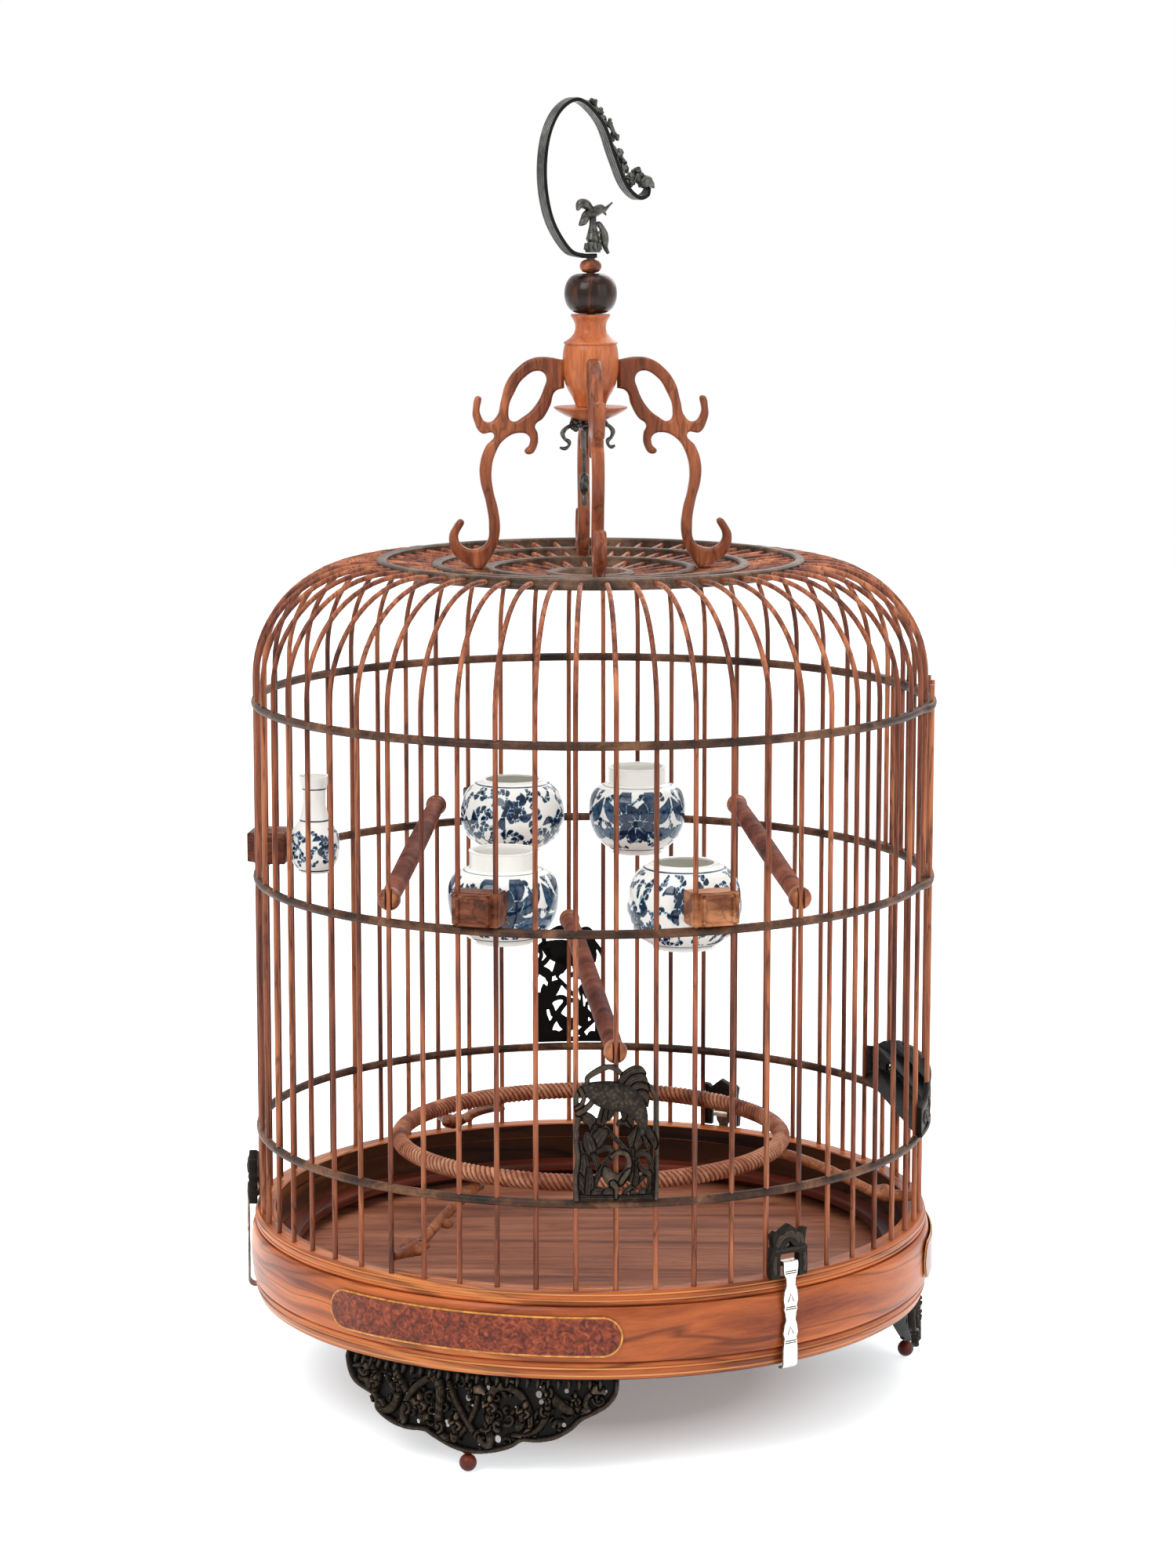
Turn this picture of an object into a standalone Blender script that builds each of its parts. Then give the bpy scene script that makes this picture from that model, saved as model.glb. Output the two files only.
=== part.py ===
# A round wooden birdcage with a domed shoulder, a carved hub and a swivelling metal hook.
# Metres, +Z up. The origin is on the cage's axis, where the three ball feet stand.
# An azimuth of 0 degrees looks at the cage's front (-Y), and +90 degrees at its right side (+X).

import math

import bmesh
import bpy
from mathutils import Matrix, Vector

# Clearances between pieces that touch, and the extra length that every cut runs past its wall
SEAT_GAP = 0.0003
CUT_OVERRUN = 0.002

# The grille: 56 bars, three hoops and four roof rings
BAR_COUNT = 56
BAR_DIAMETER = 0.0024
BAR_CIRCLE_RADIUS = 0.1628
FIRST_BAR_DEGREES = 4.03
BAR_HOLE_CLEARANCE = 0.0003
SHOULDER_RADIUS = 0.0545
SHOULDER_STEPS = 4
ROOF_FALL_DEGREES = 4.66
ROOF_HEIGHT_AT_AXIS = 0.3981
HOOP_THICKNESS = 0.0042
LOWER_HOOP_HEIGHT = 0.1300
MIDDLE_HOOP_HEIGHT = 0.2547
UPPER_HOOP_HEIGHT = 0.3403
ROOF_RING_WIDTH = 0.0047
ROOF_RING_HEIGHT = 0.0054
ROOF_RING_A_RADIUS = 0.1035
ROOF_RING_B_RADIUS = 0.0769
ROOF_RING_C_RADIUS = 0.0513
ROOF_RING_D_RADIUS = 0.0213
HOOP_SEGMENTS = 28

# The sliding door in the cage's right side
DOOR_FIRST_BAR = 12
DOOR_BAR_COUNT = 6
DOOR_BAR_OFFSET = 0.0033
DOOR_BAR_TOP = 0.3500
DOOR_LUG_WIDTH = 0.0032
DOOR_PLATE_THICKNESS = 0.0036
DOOR_PLATE_OFFSET = 0.0016
DOOR_PLATE_END_HEIGHT = 0.0160
DOOR_PLATE_CROWN_HEIGHT = 0.0260
DOOR_PLATE_SPAN_DEGREES = 49.0

# The base: the cage ring that holds the bars, the drum, its foot moulding, ledge and floor
BASE_SEGMENTS = 42
CAGE_RING_OUTER_LIP = 0.0032
CAGE_RING_INNER_LIP = 0.0068
CAGE_RING_TOP = 0.0895
CAGE_RING_HEIGHT = 0.0071
BAR_SOCKET_DEPTH = 0.0045
DRUM_HEIGHT = 0.0260
DRUM_BULGE_DEPTH = 0.0023
DRUM_EDGE_LIP = 0.0002
MOULDING_HEIGHT = 0.0085
MOULDING_OUTER_LIP = 0.0003
MOULDING_INNER_LIP = 0.0040
LEDGE_WIDTH = 0.0110
LEDGE_THICKNESS = 0.0040
LEDGE_TOP = 0.0705
FLOOR_THICKNESS = 0.0050

# Carved feet under the moulding, one every 120 degrees, each on a small ball
FOOT_FIRST_DEGREES = -20.5
FOOT_SPAN_DEGREES = 50.0
FOOT_SETBACK = 0.0005
FOOT_THICKNESS = 0.0080
FOOT_BALL_DIAMETER = 0.0083
FOOT_LOBE_DEPTH = 0.0400
BURL_SPAN_DEGREES = 51.0
BURL_HEIGHT = 0.0190
BURL_THICKNESS = 0.0012

# Clips: a carved block on the cage ring and a strap that reaches down to the moulding
CLIP_DEGREES = (32.96, 155.1, -89.18)
CLIP_BLOCK_WIDTH = 0.0210
CLIP_BLOCK_HEIGHT = 0.0255
CLIP_BLOCK_OUTER_LIP = 0.0011
CLIP_BLOCK_OFFSET = 0.0017
CLIP_ARCH_WIDTH = 0.0110
CLIP_ARCH_HEIGHT = 0.0100
CLIP_STRAP_WIDTH = 0.0075
CLIP_STRAP_THICKNESS = 0.0010
CLIP_CURL_RADIUS = 0.0022
CLIP_HOOK_REACH = 0.0060

# Carved plates on the bars, front and back
FRONT_PLATE_DEGREES = 4.03
BACK_PLATE_DEGREES = 184.03
PLATE_WIDTH = 0.0380
PLATE_SHOULDER_HEIGHT = 0.0500
PLATE_CROWN_HEIGHT = 0.0632
PLATE_THICKNESS = 0.0028

# The hub, its arms and what hangs below it
SMALL_BEAD_DIAMETER = 0.0110
SMALL_BEAD_HEIGHT = 0.0063
LARGE_BEAD_DIAMETER = 0.0256
LARGE_BEAD_HEIGHT = 0.0191
LARGE_BEAD_BOTTOM = 0.5263
SHANK_DIAMETER = 0.0040
URN_DIAMETER = 0.0270
URN_TOP = 0.5260
SAUCER_DIAMETER = 0.0355
SAUCER_BOTTOM = 0.4752
SAUCER_TOP = 0.4818
ARM_THICKNESS = 0.0080
ARM_REACH = 0.0691
ARM_TOP = 0.5059
PENDANT_COLLAR_DIAMETER = 0.0110
PENDANT_COLLAR_HEIGHT = 0.0045
PENDANT_CURL_REACH = 0.0170
PENDANT_OFFSET = -0.0035
PENDANT_ROD_DIAMETER = 0.0020
PENDANT_ROD_LENGTH = 0.0205
PENDANT_BULB_DIAMETER = 0.0053
PENDANT_BULB_HEIGHT = 0.0102
PENDANT_DROP_DIAMETER = 0.0036
PENDANT_DROP_HEIGHT = 0.0055
HOOK_WIDTH = 0.0078
HOOK_THICKNESS = 0.0026
HOOK_FOOT_HEIGHT = 0.5525
HOOK_TOP = 0.6286
HOOK_REACH = 0.0262
HOOK_TURN_DEGREES = 28.0
HOOK_VINE_RADIUS = 0.0030
HOOK_FIGURE_HEIGHT = 0.0250
HOOK_FIGURE_WIDTH = 0.0085

# Perches
PERCH_DIAMETER = 0.0100
PERCH_KNOB_DIAMETER = 0.0110
PERCH_KNOB_LENGTH = 0.0090
PERCH_SLOT_DEPTH = 0.0065
HIGH_PERCH_HEIGHT = 0.2650
LOW_PERCH_HEIGHT = 0.2000
RING_PERCH_OUTER_RADIUS = 0.0990
RING_PERCH_TUBE_DIAMETER = 0.0090
RING_PERCH_HEIGHT = 0.1220
CLAMP_BARS = (-6, 12, -24)
CLAMP_DIAMETER = 0.0050
CLAMP_TIP_HEIGHT = 0.0970

# Porcelain pots and their wooden holders
POT_WALL = 0.0026
VASE_WALL = 0.0018
HOLDER_WIDTH = 0.0230
HOLDER_HEIGHT = 0.0154
HOLDER_OFFSET = 0.0067
VASE_DIAMETER = 0.0250
VASE_HEIGHT = 0.0480
VASE_BOTTOM = 0.2520
VASE_GAP = -15.5
VASE_HOLDER_DEPTH = 0.0120
# Name, place counted in bars from the front one, diameter, bottom, top, holder's depth and form
POTS = (
    ("front_left_jar", -3.5, 0.0516, 0.2434, 0.2863, 0.0085, "jar"),
    ("front_right_bowl", 2.5, 0.0541, 0.2405, 0.2801, 0.0085, "bowl"),
    ("back_left_bowl", -25.5, 0.0544, 0.2464, 0.2834, 0.0165, "bowl"),
    ("back_right_jar", 25.5, 0.0503, 0.2447, 0.2895, 0.0200, "jar"),
)

BAR_STEP = 360.0 / BAR_COUNT
BAR_SIDE = BAR_DIAMETER * math.sqrt(math.pi) / 2
DOOR_BAR_RADIUS = BAR_CIRCLE_RADIUS + DOOR_BAR_OFFSET
DOOR_PLATE_INNER_RADIUS = BAR_CIRCLE_RADIUS + DOOR_PLATE_OFFSET
HOLDER_OUTER_RADIUS = BAR_CIRCLE_RADIUS + HOLDER_OFFSET
CAGE_RING_OUTER_RADIUS = BAR_CIRCLE_RADIUS + CAGE_RING_OUTER_LIP
CAGE_RING_INNER_RADIUS = BAR_CIRCLE_RADIUS - CAGE_RING_INNER_LIP
DRUM_EDGE_RADIUS = CAGE_RING_OUTER_RADIUS + DRUM_EDGE_LIP
DRUM_BULGE_RADIUS = DRUM_EDGE_RADIUS + DRUM_BULGE_DEPTH
DRUM_INNER_RADIUS = CAGE_RING_INNER_RADIUS
MOULDING_OUTER_RADIUS = DRUM_EDGE_RADIUS + MOULDING_OUTER_LIP
MOULDING_INNER_RADIUS = DRUM_INNER_RADIUS - MOULDING_INNER_LIP
FOOT_OUTER_RADIUS = MOULDING_OUTER_RADIUS - FOOT_SETBACK
FOOT_INNER_RADIUS = FOOT_OUTER_RADIUS - FOOT_THICKNESS
CLIP_BLOCK_OUTER_RADIUS = DRUM_BULGE_RADIUS + CLIP_BLOCK_OUTER_LIP
CLIP_BLOCK_INNER_RADIUS = BAR_CIRCLE_RADIUS + CLIP_BLOCK_OFFSET
CAGE_RING_BOTTOM = CAGE_RING_TOP - CAGE_RING_HEIGHT
DRUM_TOP = CAGE_RING_BOTTOM - SEAT_GAP
DRUM_BOTTOM = DRUM_TOP - DRUM_HEIGHT
MOULDING_TOP = DRUM_BOTTOM - SEAT_GAP
MOULDING_BOTTOM = MOULDING_TOP - MOULDING_HEIGHT
FOOT_TOP = MOULDING_BOTTOM - SEAT_GAP


def bar_degrees(number):
    """Azimuth of a bar, counted to the right from the front one."""
    return FIRST_BAR_DEGREES + number * BAR_STEP


def polar(radius, degrees, height):
    """World point at a distance from the axis, an azimuth and a height."""
    angle = math.radians(degrees)
    return Vector((radius * math.sin(angle), -radius * math.cos(angle), height))


def facing(degrees):
    """Rotation about Z that turns a shape's +X outward at an azimuth."""
    return math.radians(degrees - 90.0)


def material(name, colour, roughness, metallic=0.0):
    finish = bpy.data.materials.new(name)
    finish.use_nodes = True
    shader = finish.node_tree.nodes["Principled BSDF"]
    shader.inputs["Base Color"].default_value = (*colour, 1.0)
    shader.inputs["Roughness"].default_value = roughness
    shader.inputs["Metallic"].default_value = metallic
    finish.diffuse_color = (*colour, 1.0)
    return finish


def make_object(name, shape, finish, rotation=0.0, parent=None, location=None):
    """Turn a bmesh into a named object; a parent's origin is taken off its place."""
    bmesh.ops.recalc_face_normals(shape, faces=shape.faces)
    mesh = bpy.data.meshes.new(name)
    shape.to_mesh(mesh)
    shape.free()
    mesh.shade_smooth()
    mesh.set_sharp_from_angle(angle=math.radians(35.0))
    if finish:
        mesh.materials.append(finish)
    thing = bpy.data.objects.new(name, mesh)
    thing.rotation_euler.z = rotation
    if location:
        thing.location = location
    bpy.context.scene.collection.objects.link(thing)
    if parent:
        thing.parent = parent
        thing.matrix_parent_inverse = parent.matrix_world.inverted()
    return thing


def pivot(name, location, rotation=0.0):
    """An empty that stands on a joint's axis."""
    empty = bpy.data.objects.new(name, None)
    empty.location = location
    empty.rotation_euler.z = rotation
    empty.empty_display_size = PERCH_DIAMETER
    bpy.context.scene.collection.objects.link(empty)
    bpy.context.view_layer.update()
    return empty


def hide_as_guide(guide):
    guide.hide_render = True
    guide.display_type = "WIRE"
    return guide


def combine(target, other, operation):
    """Cut or join with the exact solver."""
    step = target.modifiers.new(other.name, "BOOLEAN")
    step.operation = operation
    step.solver = "EXACT"
    step.object = other


def revolve(profile, segments, closed=False, centre=(0.0, 0.0)):
    """Turn (radius, height) points about Z; a closed profile gives a ring."""
    shape = bmesh.new()
    loops = []
    for radius, height in profile:
        if radius == 0.0:
            loops.append([shape.verts.new((centre[0], centre[1], height))])
            continue
        loop = []
        for index in range(segments):
            angle = 2.0 * math.pi * index / segments
            x = centre[0] + radius * math.cos(angle)
            loop.append(shape.verts.new((x, centre[1] + radius * math.sin(angle), height)))
        loops.append(loop)
    pairs = list(zip(loops, loops[1:]))
    if closed:
        pairs.append((loops[-1], loops[0]))
    for lower, upper in pairs:
        for index in range(segments):
            following = (index + 1) % segments
            corners = [lower[index % len(lower)], lower[following % len(lower)],
                       upper[following % len(upper)], upper[index % len(upper)]]
            face = list(dict.fromkeys(corners))
            if len(face) > 2:
                shape.faces.new(face)
    return shape


def sweep(shape, points, normals, half_depths, half_width, closed=False):
    """Sweep a rectangle along points; each normal lies across the path, in its depth."""
    sections = []
    path = list(points)
    for index, point in enumerate(path):
        before = path[index - 1] if index or closed else point
        after = path[(index + 1) % len(path)] if index + 1 < len(path) or closed else point
        side = (after - before).cross(normals[index]).normalized() * half_width
        depth = normals[index].normalized() * half_depths[index]
        corners = (point + depth + side, point + depth - side, point - depth - side, point - depth + side)
        sections.append([shape.verts.new(corner) for corner in corners])
    pairs = list(zip(sections, sections[1:]))
    if closed:
        pairs.append((sections[-1], sections[0]))
    else:
        shape.faces.new(sections[0])
        shape.faces.new(sections[-1])
    for first, second in pairs:
        for corner in range(4):
            following = (corner + 1) % 4
            shape.faces.new((first[corner], first[following], second[following], second[corner]))


def tube(shape, points, radii, sides):
    """A round tube with its own radius at each point, capped at both ends."""
    loops = []
    up = Vector((0.0, 1.0, 0.0))
    for index, point in enumerate(points):
        before = points[max(index - 1, 0)]
        after = points[min(index + 1, len(points) - 1)]
        along = (after - before).normalized()
        across = along.cross(up)
        if across.length < 0.1:
            across = along.cross(Vector((1.0, 0.0, 0.0)))
        across.normalize()
        other = along.cross(across)
        turn = [2.0 * math.pi * side / sides for side in range(sides)]
        loops.append([shape.verts.new(point + radii[index] * (across * math.cos(a) + other * math.sin(a)))
                      for a in turn])
    for first, second in zip(loops, loops[1:]):
        for side in range(sides):
            following = (side + 1) % sides
            shape.faces.new((first[side], first[following], second[following], second[side]))
    shape.faces.new(loops[0])
    shape.faces.new(loops[-1])


def extrude_outline(outline, thickness, hole=None):
    """A plate in the XZ plane, centred on Y, with one window if a hole outline is given."""
    shape = bmesh.new()
    edges = []
    for loop in (outline, hole) if hole else (outline,):
        verts = [shape.verts.new((x, -thickness / 2, z)) for x, z in loop]
        edges += [shape.edges.new((verts[i], verts[(i + 1) % len(verts)])) for i in range(len(verts))]
    bmesh.ops.triangle_fill(shape, use_beauty=True, edges=edges)
    grown = bmesh.ops.extrude_face_region(shape, geom=shape.faces[:])
    moved = [item for item in grown["geom"] if isinstance(item, bmesh.types.BMVert)]
    bmesh.ops.translate(shape, verts=moved, vec=(0.0, thickness, 0.0))
    return shape


def curved_lattice(azimuths, levels, inner_radius, outer_radius, open_cells=()):
    """A plate bent round the axis: columns between azimuths, cut by levels, with open cells."""
    shape = bmesh.new()
    front = [[shape.verts.new(polar(outer_radius, a, z)) for z in column]
             for a, column in zip(azimuths, levels)]
    back = [[shape.verts.new(polar(inner_radius, a, z)) for z in column]
            for a, column in zip(azimuths, levels)]
    rows = len(levels[0]) - 1
    solid = {(c, r) for c in range(len(azimuths) - 1) for r in range(rows)} - set(open_cells)
    for c, r in solid:
        corners = ((c, r), (c + 1, r), (c + 1, r + 1), (c, r + 1))
        neighbours = ((c, r - 1), (c + 1, r), (c, r + 1), (c - 1, r))
        shape.faces.new([front[a][b] for a, b in corners])
        shape.faces.new([back[a][b] for a, b in reversed(corners)])
        for side, neighbour in enumerate(neighbours):
            if neighbour not in solid:
                (a, b), (d, e) = corners[side], corners[(side + 1) % 4]
                shape.faces.new((front[a][b], back[a][b], back[d][e], front[d][e]))
    loose = [vert for vert in shape.verts if not vert.link_faces]
    bmesh.ops.delete(shape, geom=loose, context="VERTS")
    return shape


def roof_height(radius):
    """Height of the roof bars' centreline, which falls a little toward the axis."""
    return ROOF_HEIGHT_AT_AXIS + radius * math.tan(math.radians(ROOF_FALL_DEGREES))


def bar_path(end_radius, start_height, top_height=None):
    """(radius, height, depth angle) along a bar: up, over the shoulder and in over the roof."""
    points = [(BAR_CIRCLE_RADIUS, start_height, 0.0)]
    if top_height:
        return points + [(BAR_CIRCLE_RADIUS, top_height, 0.0)]
    full_turn = math.radians(90.0 + ROOF_FALL_DEGREES)
    centre_radius = BAR_CIRCLE_RADIUS - SHOULDER_RADIUS
    turned_in = centre_radius + SHOULDER_RADIUS * math.cos(full_turn)
    centre_height = roof_height(turned_in) - SHOULDER_RADIUS * math.sin(full_turn)
    for step in range(SHOULDER_STEPS + 1):
        turn = full_turn * step / SHOULDER_STEPS
        radius = centre_radius + SHOULDER_RADIUS * math.cos(turn)
        points.append((radius, centre_height + SHOULDER_RADIUS * math.sin(turn), turn))
    return points + [(end_radius, roof_height(end_radius), full_turn)]


def add_bar(shape, number, path, extra=0.0):
    """One square bar along its path; extra widens it into a cutter for its hole."""
    azimuth = bar_degrees(number)
    outward = polar(1.0, azimuth, 0.0)
    points = [polar(radius, azimuth, height) for radius, height, turn in path]
    normals = [outward * math.cos(turn) + Vector((0.0, 0.0, math.sin(turn))) for _, _, turn in path]
    half = BAR_SIDE / 2 + extra
    sweep(shape, points, normals, [half] * len(path), half)


def is_door_bar(number):
    return DOOR_FIRST_BAR <= number < DOOR_FIRST_BAR + DOOR_BAR_COUNT


def bar_end_radius(number):
    """Every other bar runs on through ring C to ring D."""
    if number % 2 == 0:
        return ROOF_RING_D_RADIUS + SEAT_GAP
    return ROOF_RING_C_RADIUS + SEAT_GAP


def bar_bundle(name, numbers, start_height, extra=0.0, inward=0.0):
    """A guide that holds several bars, for joining them to a ring or for cutting their holes."""
    shape = bmesh.new()
    for number in numbers:
        add_bar(shape, number, bar_path(bar_end_radius(number) - inward, start_height), extra)
    return hide_as_guide(make_object(name, shape, None))


def door_bars(name, bottom, extra=0.0):
    """The sliding door's bars, or the cutter for their outer row of holes."""
    shape = bmesh.new()
    half = BAR_SIDE / 2 + extra
    for number in range(DOOR_FIRST_BAR, DOOR_FIRST_BAR + DOOR_BAR_COUNT):
        azimuth = bar_degrees(number)
        ends = [polar(DOOR_BAR_RADIUS, azimuth, height) for height in (bottom, DOOR_BAR_TOP)]
        sweep(shape, ends, [polar(1.0, azimuth, 0.0)] * 2, [half] * 2, half)
    return hide_as_guide(make_object(name, shape, None))


def plain_hoop(name, height, finish, with_door_lug=False):
    """A hoop of square section; its corners keep the bars on the section's centreline."""
    half_step = 360.0 / HOOP_SEGMENTS / 2
    corner = BAR_CIRCLE_RADIUS * math.cos(math.radians(BAR_STEP / 2)) / math.cos(math.radians(half_step))
    shape = bmesh.new()
    first = bar_degrees(0) - BAR_STEP / 2
    lug_middle = bar_degrees(DOOR_FIRST_BAR) + (DOOR_BAR_COUNT - 1) * BAR_STEP / 2
    loops = []
    for index in range(HOOP_SEGMENTS):
        azimuth = first + index * 2 * half_step
        outer = corner + HOOP_THICKNESS / 2
        if with_door_lug and abs(azimuth - lug_middle) < DOOR_BAR_COUNT * BAR_STEP / 2 + half_step:
            outer += DOOR_LUG_WIDTH
        inner = corner - HOOP_THICKNESS / 2
        low = height - HOOP_THICKNESS / 2
        high = height + HOOP_THICKNESS / 2
        corners = ((inner, low), (outer, low), (outer, high), (inner, high))
        loops.append([shape.verts.new(polar(r, azimuth, z)) for r, z in corners])
    for index, loop in enumerate(loops):
        other = loops[(index + 1) % HOOP_SEGMENTS]
        for side in range(4):
            following = (side + 1) % 4
            shape.faces.new((loop[side], loop[following], other[following], other[side]))
    return make_object(name, shape, finish)


def build_hoops(finish):
    all_bars = range(BAR_COUNT)
    cut_from = LOWER_HOOP_HEIGHT - HOOP_THICKNESS
    holes = bar_bundle("bar_holes", all_bars, cut_from, BAR_HOLE_CLEARANCE, CUT_OVERRUN)
    fixed = [number for number in all_bars if not is_door_bar(number)]
    middle_holes = bar_bundle("middle_hoop_holes", fixed, cut_from, BAR_HOLE_CLEARANCE)
    door_holes = door_bars("door_bar_holes", LOWER_HOOP_HEIGHT + HOOP_THICKNESS, BAR_HOLE_CLEARANCE)
    upper_bars = bar_bundle("doorway_upper_bars", [n for n in all_bars if is_door_bar(n)],
                            MIDDLE_HOOP_HEIGHT)
    lower = plain_hoop("lower_hoop", LOWER_HOOP_HEIGHT, finish)
    combine(lower, holes, "DIFFERENCE")
    middle = plain_hoop("middle_hoop", MIDDLE_HOOP_HEIGHT, finish, with_door_lug=True)
    combine(middle, middle_holes, "DIFFERENCE")
    combine(middle, door_holes, "DIFFERENCE")
    combine(middle, upper_bars, "UNION")
    upper = plain_hoop("upper_hoop", UPPER_HOOP_HEIGHT, finish, with_door_lug=True)
    combine(upper, holes, "DIFFERENCE")
    combine(upper, door_holes, "DIFFERENCE")
    return holes


def roof_ring(name, outer_radius, finish, segments):
    """A flat-sided ring on the roof bars' line."""
    inner_radius = outer_radius - ROOF_RING_WIDTH
    middle = roof_height(outer_radius - ROOF_RING_WIDTH / 2)
    low = middle - ROOF_RING_HEIGHT / 2
    high = middle + ROOF_RING_HEIGHT / 2
    profile = ((inner_radius, low), (outer_radius, low), (outer_radius, high), (inner_radius, high))
    turn = math.radians(bar_degrees(0) - BAR_STEP / 2 - 90.0)
    return make_object(name, revolve(profile, segments, closed=True), finish, rotation=turn)


def build_roof_rings(finish, holes):
    """Rings A and B take all bars, C lets every other one through, D stops them."""
    ring_a = roof_ring("roof_ring_a", ROOF_RING_A_RADIUS, finish, HOOP_SEGMENTS)
    ring_b = roof_ring("roof_ring_b", ROOF_RING_B_RADIUS, finish, HOOP_SEGMENTS)
    ring_c = roof_ring("roof_ring_c", ROOF_RING_C_RADIUS, finish, HOOP_SEGMENTS)
    roof_ring("roof_ring_d", ROOF_RING_D_RADIUS, finish, HOOP_SEGMENTS // 2)
    combine(ring_a, holes, "DIFFERENCE")
    combine(ring_b, holes, "DIFFERENCE")
    through_c = bmesh.new()
    for number in range(0, BAR_COUNT, 2):
        path = bar_path(ROOF_RING_D_RADIUS, LOWER_HOOP_HEIGHT)
        add_bar(through_c, number, path[-2:], BAR_HOLE_CLEARANCE)
    combine(ring_c, hide_as_guide(make_object("ring_c_holes", through_c, None)), "DIFFERENCE")


def build_cage_bars(finish):
    """The cage ring with the 56 bars pegged in it; six stop under the doorway."""
    low = CAGE_RING_BOTTOM
    bead = CAGE_RING_HEIGHT / 4
    outer = CAGE_RING_OUTER_RADIUS
    profile = ((CAGE_RING_INNER_RADIUS, low), (outer - bead, low), (outer, low + bead),
               (outer, CAGE_RING_TOP - bead), (outer - bead, CAGE_RING_TOP),
               (CAGE_RING_INNER_RADIUS, CAGE_RING_TOP))
    ring = make_object("cage_bars", revolve(profile, BASE_SEGMENTS, closed=True), finish)
    shape = bmesh.new()
    start = CAGE_RING_TOP - BAR_SOCKET_DEPTH
    stub_top = LOWER_HOOP_HEIGHT + HOOP_THICKNESS / 2 - SEAT_GAP
    for number in range(BAR_COUNT):
        if is_door_bar(number):
            add_bar(shape, number, bar_path(0.0, start, stub_top))
        else:
            add_bar(shape, number, bar_path(bar_end_radius(number), start))
    combine(ring, hide_as_guide(make_object("bar_rods", shape, None)), "UNION")


def build_base(wood, dark, floor_wood):
    low, high = DRUM_BOTTOM, DRUM_TOP
    bulge = DRUM_HEIGHT / 6
    drum = ((DRUM_INNER_RADIUS, low), (DRUM_EDGE_RADIUS, low), (DRUM_BULGE_RADIUS, low + bulge),
            (DRUM_BULGE_RADIUS, high - bulge), (DRUM_EDGE_RADIUS, high), (DRUM_INNER_RADIUS, high))
    make_object("base_drum", revolve(drum, BASE_SEGMENTS, closed=True), wood)
    step = MOULDING_HEIGHT / 3
    outer = MOULDING_OUTER_RADIUS
    moulding = ((MOULDING_INNER_RADIUS, MOULDING_BOTTOM), (outer - step, MOULDING_BOTTOM),
                (outer, MOULDING_BOTTOM + step), (outer, MOULDING_TOP), (MOULDING_INNER_RADIUS, MOULDING_TOP))
    make_object("base_moulding", revolve(moulding, BASE_SEGMENTS, closed=True), wood)
    edge = (DRUM_INNER_RADIUS - SEAT_GAP)
    low = LEDGE_TOP - LEDGE_THICKNESS
    ledge = ((edge - LEDGE_WIDTH, low), (edge, low), (edge, LEDGE_TOP), (edge - LEDGE_WIDTH, LEDGE_TOP))
    make_object("floor_ledge", revolve(ledge, BASE_SEGMENTS, closed=True), dark)
    bottom = MOULDING_TOP + SEAT_GAP
    floor = ((0.0, bottom), (edge, bottom), (edge, bottom + FLOOR_THICKNESS), (0.0, bottom + FLOOR_THICKNESS))
    make_object("floor_board", revolve(floor, BASE_SEGMENTS), floor_wood)


def build_feet(finish):
    """Each foot is a pierced apron with five scalloped lobes, bent to the base, on a ball."""
    side_shares = ((1.0, 0.05), (0.93, 0.26), (0.87, 0.40), (0.71, 0.51), (0.68, 0.66), (0.57, 0.78),
                   (0.44, 0.82), (0.31, 0.80), (0.24, 0.87), (0.11, 0.96))
    lobe_shares = [(-a, d) for a, d in side_shares] + [(0.0, 1.0)] + list(side_shares[::-1])
    level_shares = (1.0, 0.80, 0.16, 0.0)
    columns = len(lobe_shares) - 1
    open_cells = [(c, 1) for c in range(4, columns - 4) if c % 2 and abs(c - columns // 2) > 1]
    radius = FOOT_BALL_DIAMETER / 2
    for index in range(3):
        middle = FOOT_FIRST_DEGREES + 120.0 * index
        azimuths = [middle + FOOT_SPAN_DEGREES / 2 * share for share, _ in lobe_shares]
        levels = [[FOOT_TOP - FOOT_LOBE_DEPTH * depth * level for level in level_shares]
                  for _, depth in lobe_shares]
        shape = curved_lattice(azimuths, levels, FOOT_INNER_RADIUS, FOOT_OUTER_RADIUS, open_cells)
        foot = make_object(f"foot_{index + 1}", shape, finish)
        turns = [math.radians(angle) for angle in (-65.0, -25.0, 15.0, 50.0)]
        floor_level = radius * math.sin(turns[0])
        ball = [(0.0, 0.0)] + [(radius * math.cos(t), radius * math.sin(t) - floor_level) for t in turns]
        ball.append((0.0, radius - floor_level))
        place = polar((FOOT_INNER_RADIUS + FOOT_OUTER_RADIUS) / 2, middle, 0.0)
        guide = make_object(f"foot_ball_{index + 1}", revolve(ball, 8), None, location=place)
        combine(foot, hide_as_guide(guide), "UNION")


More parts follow.
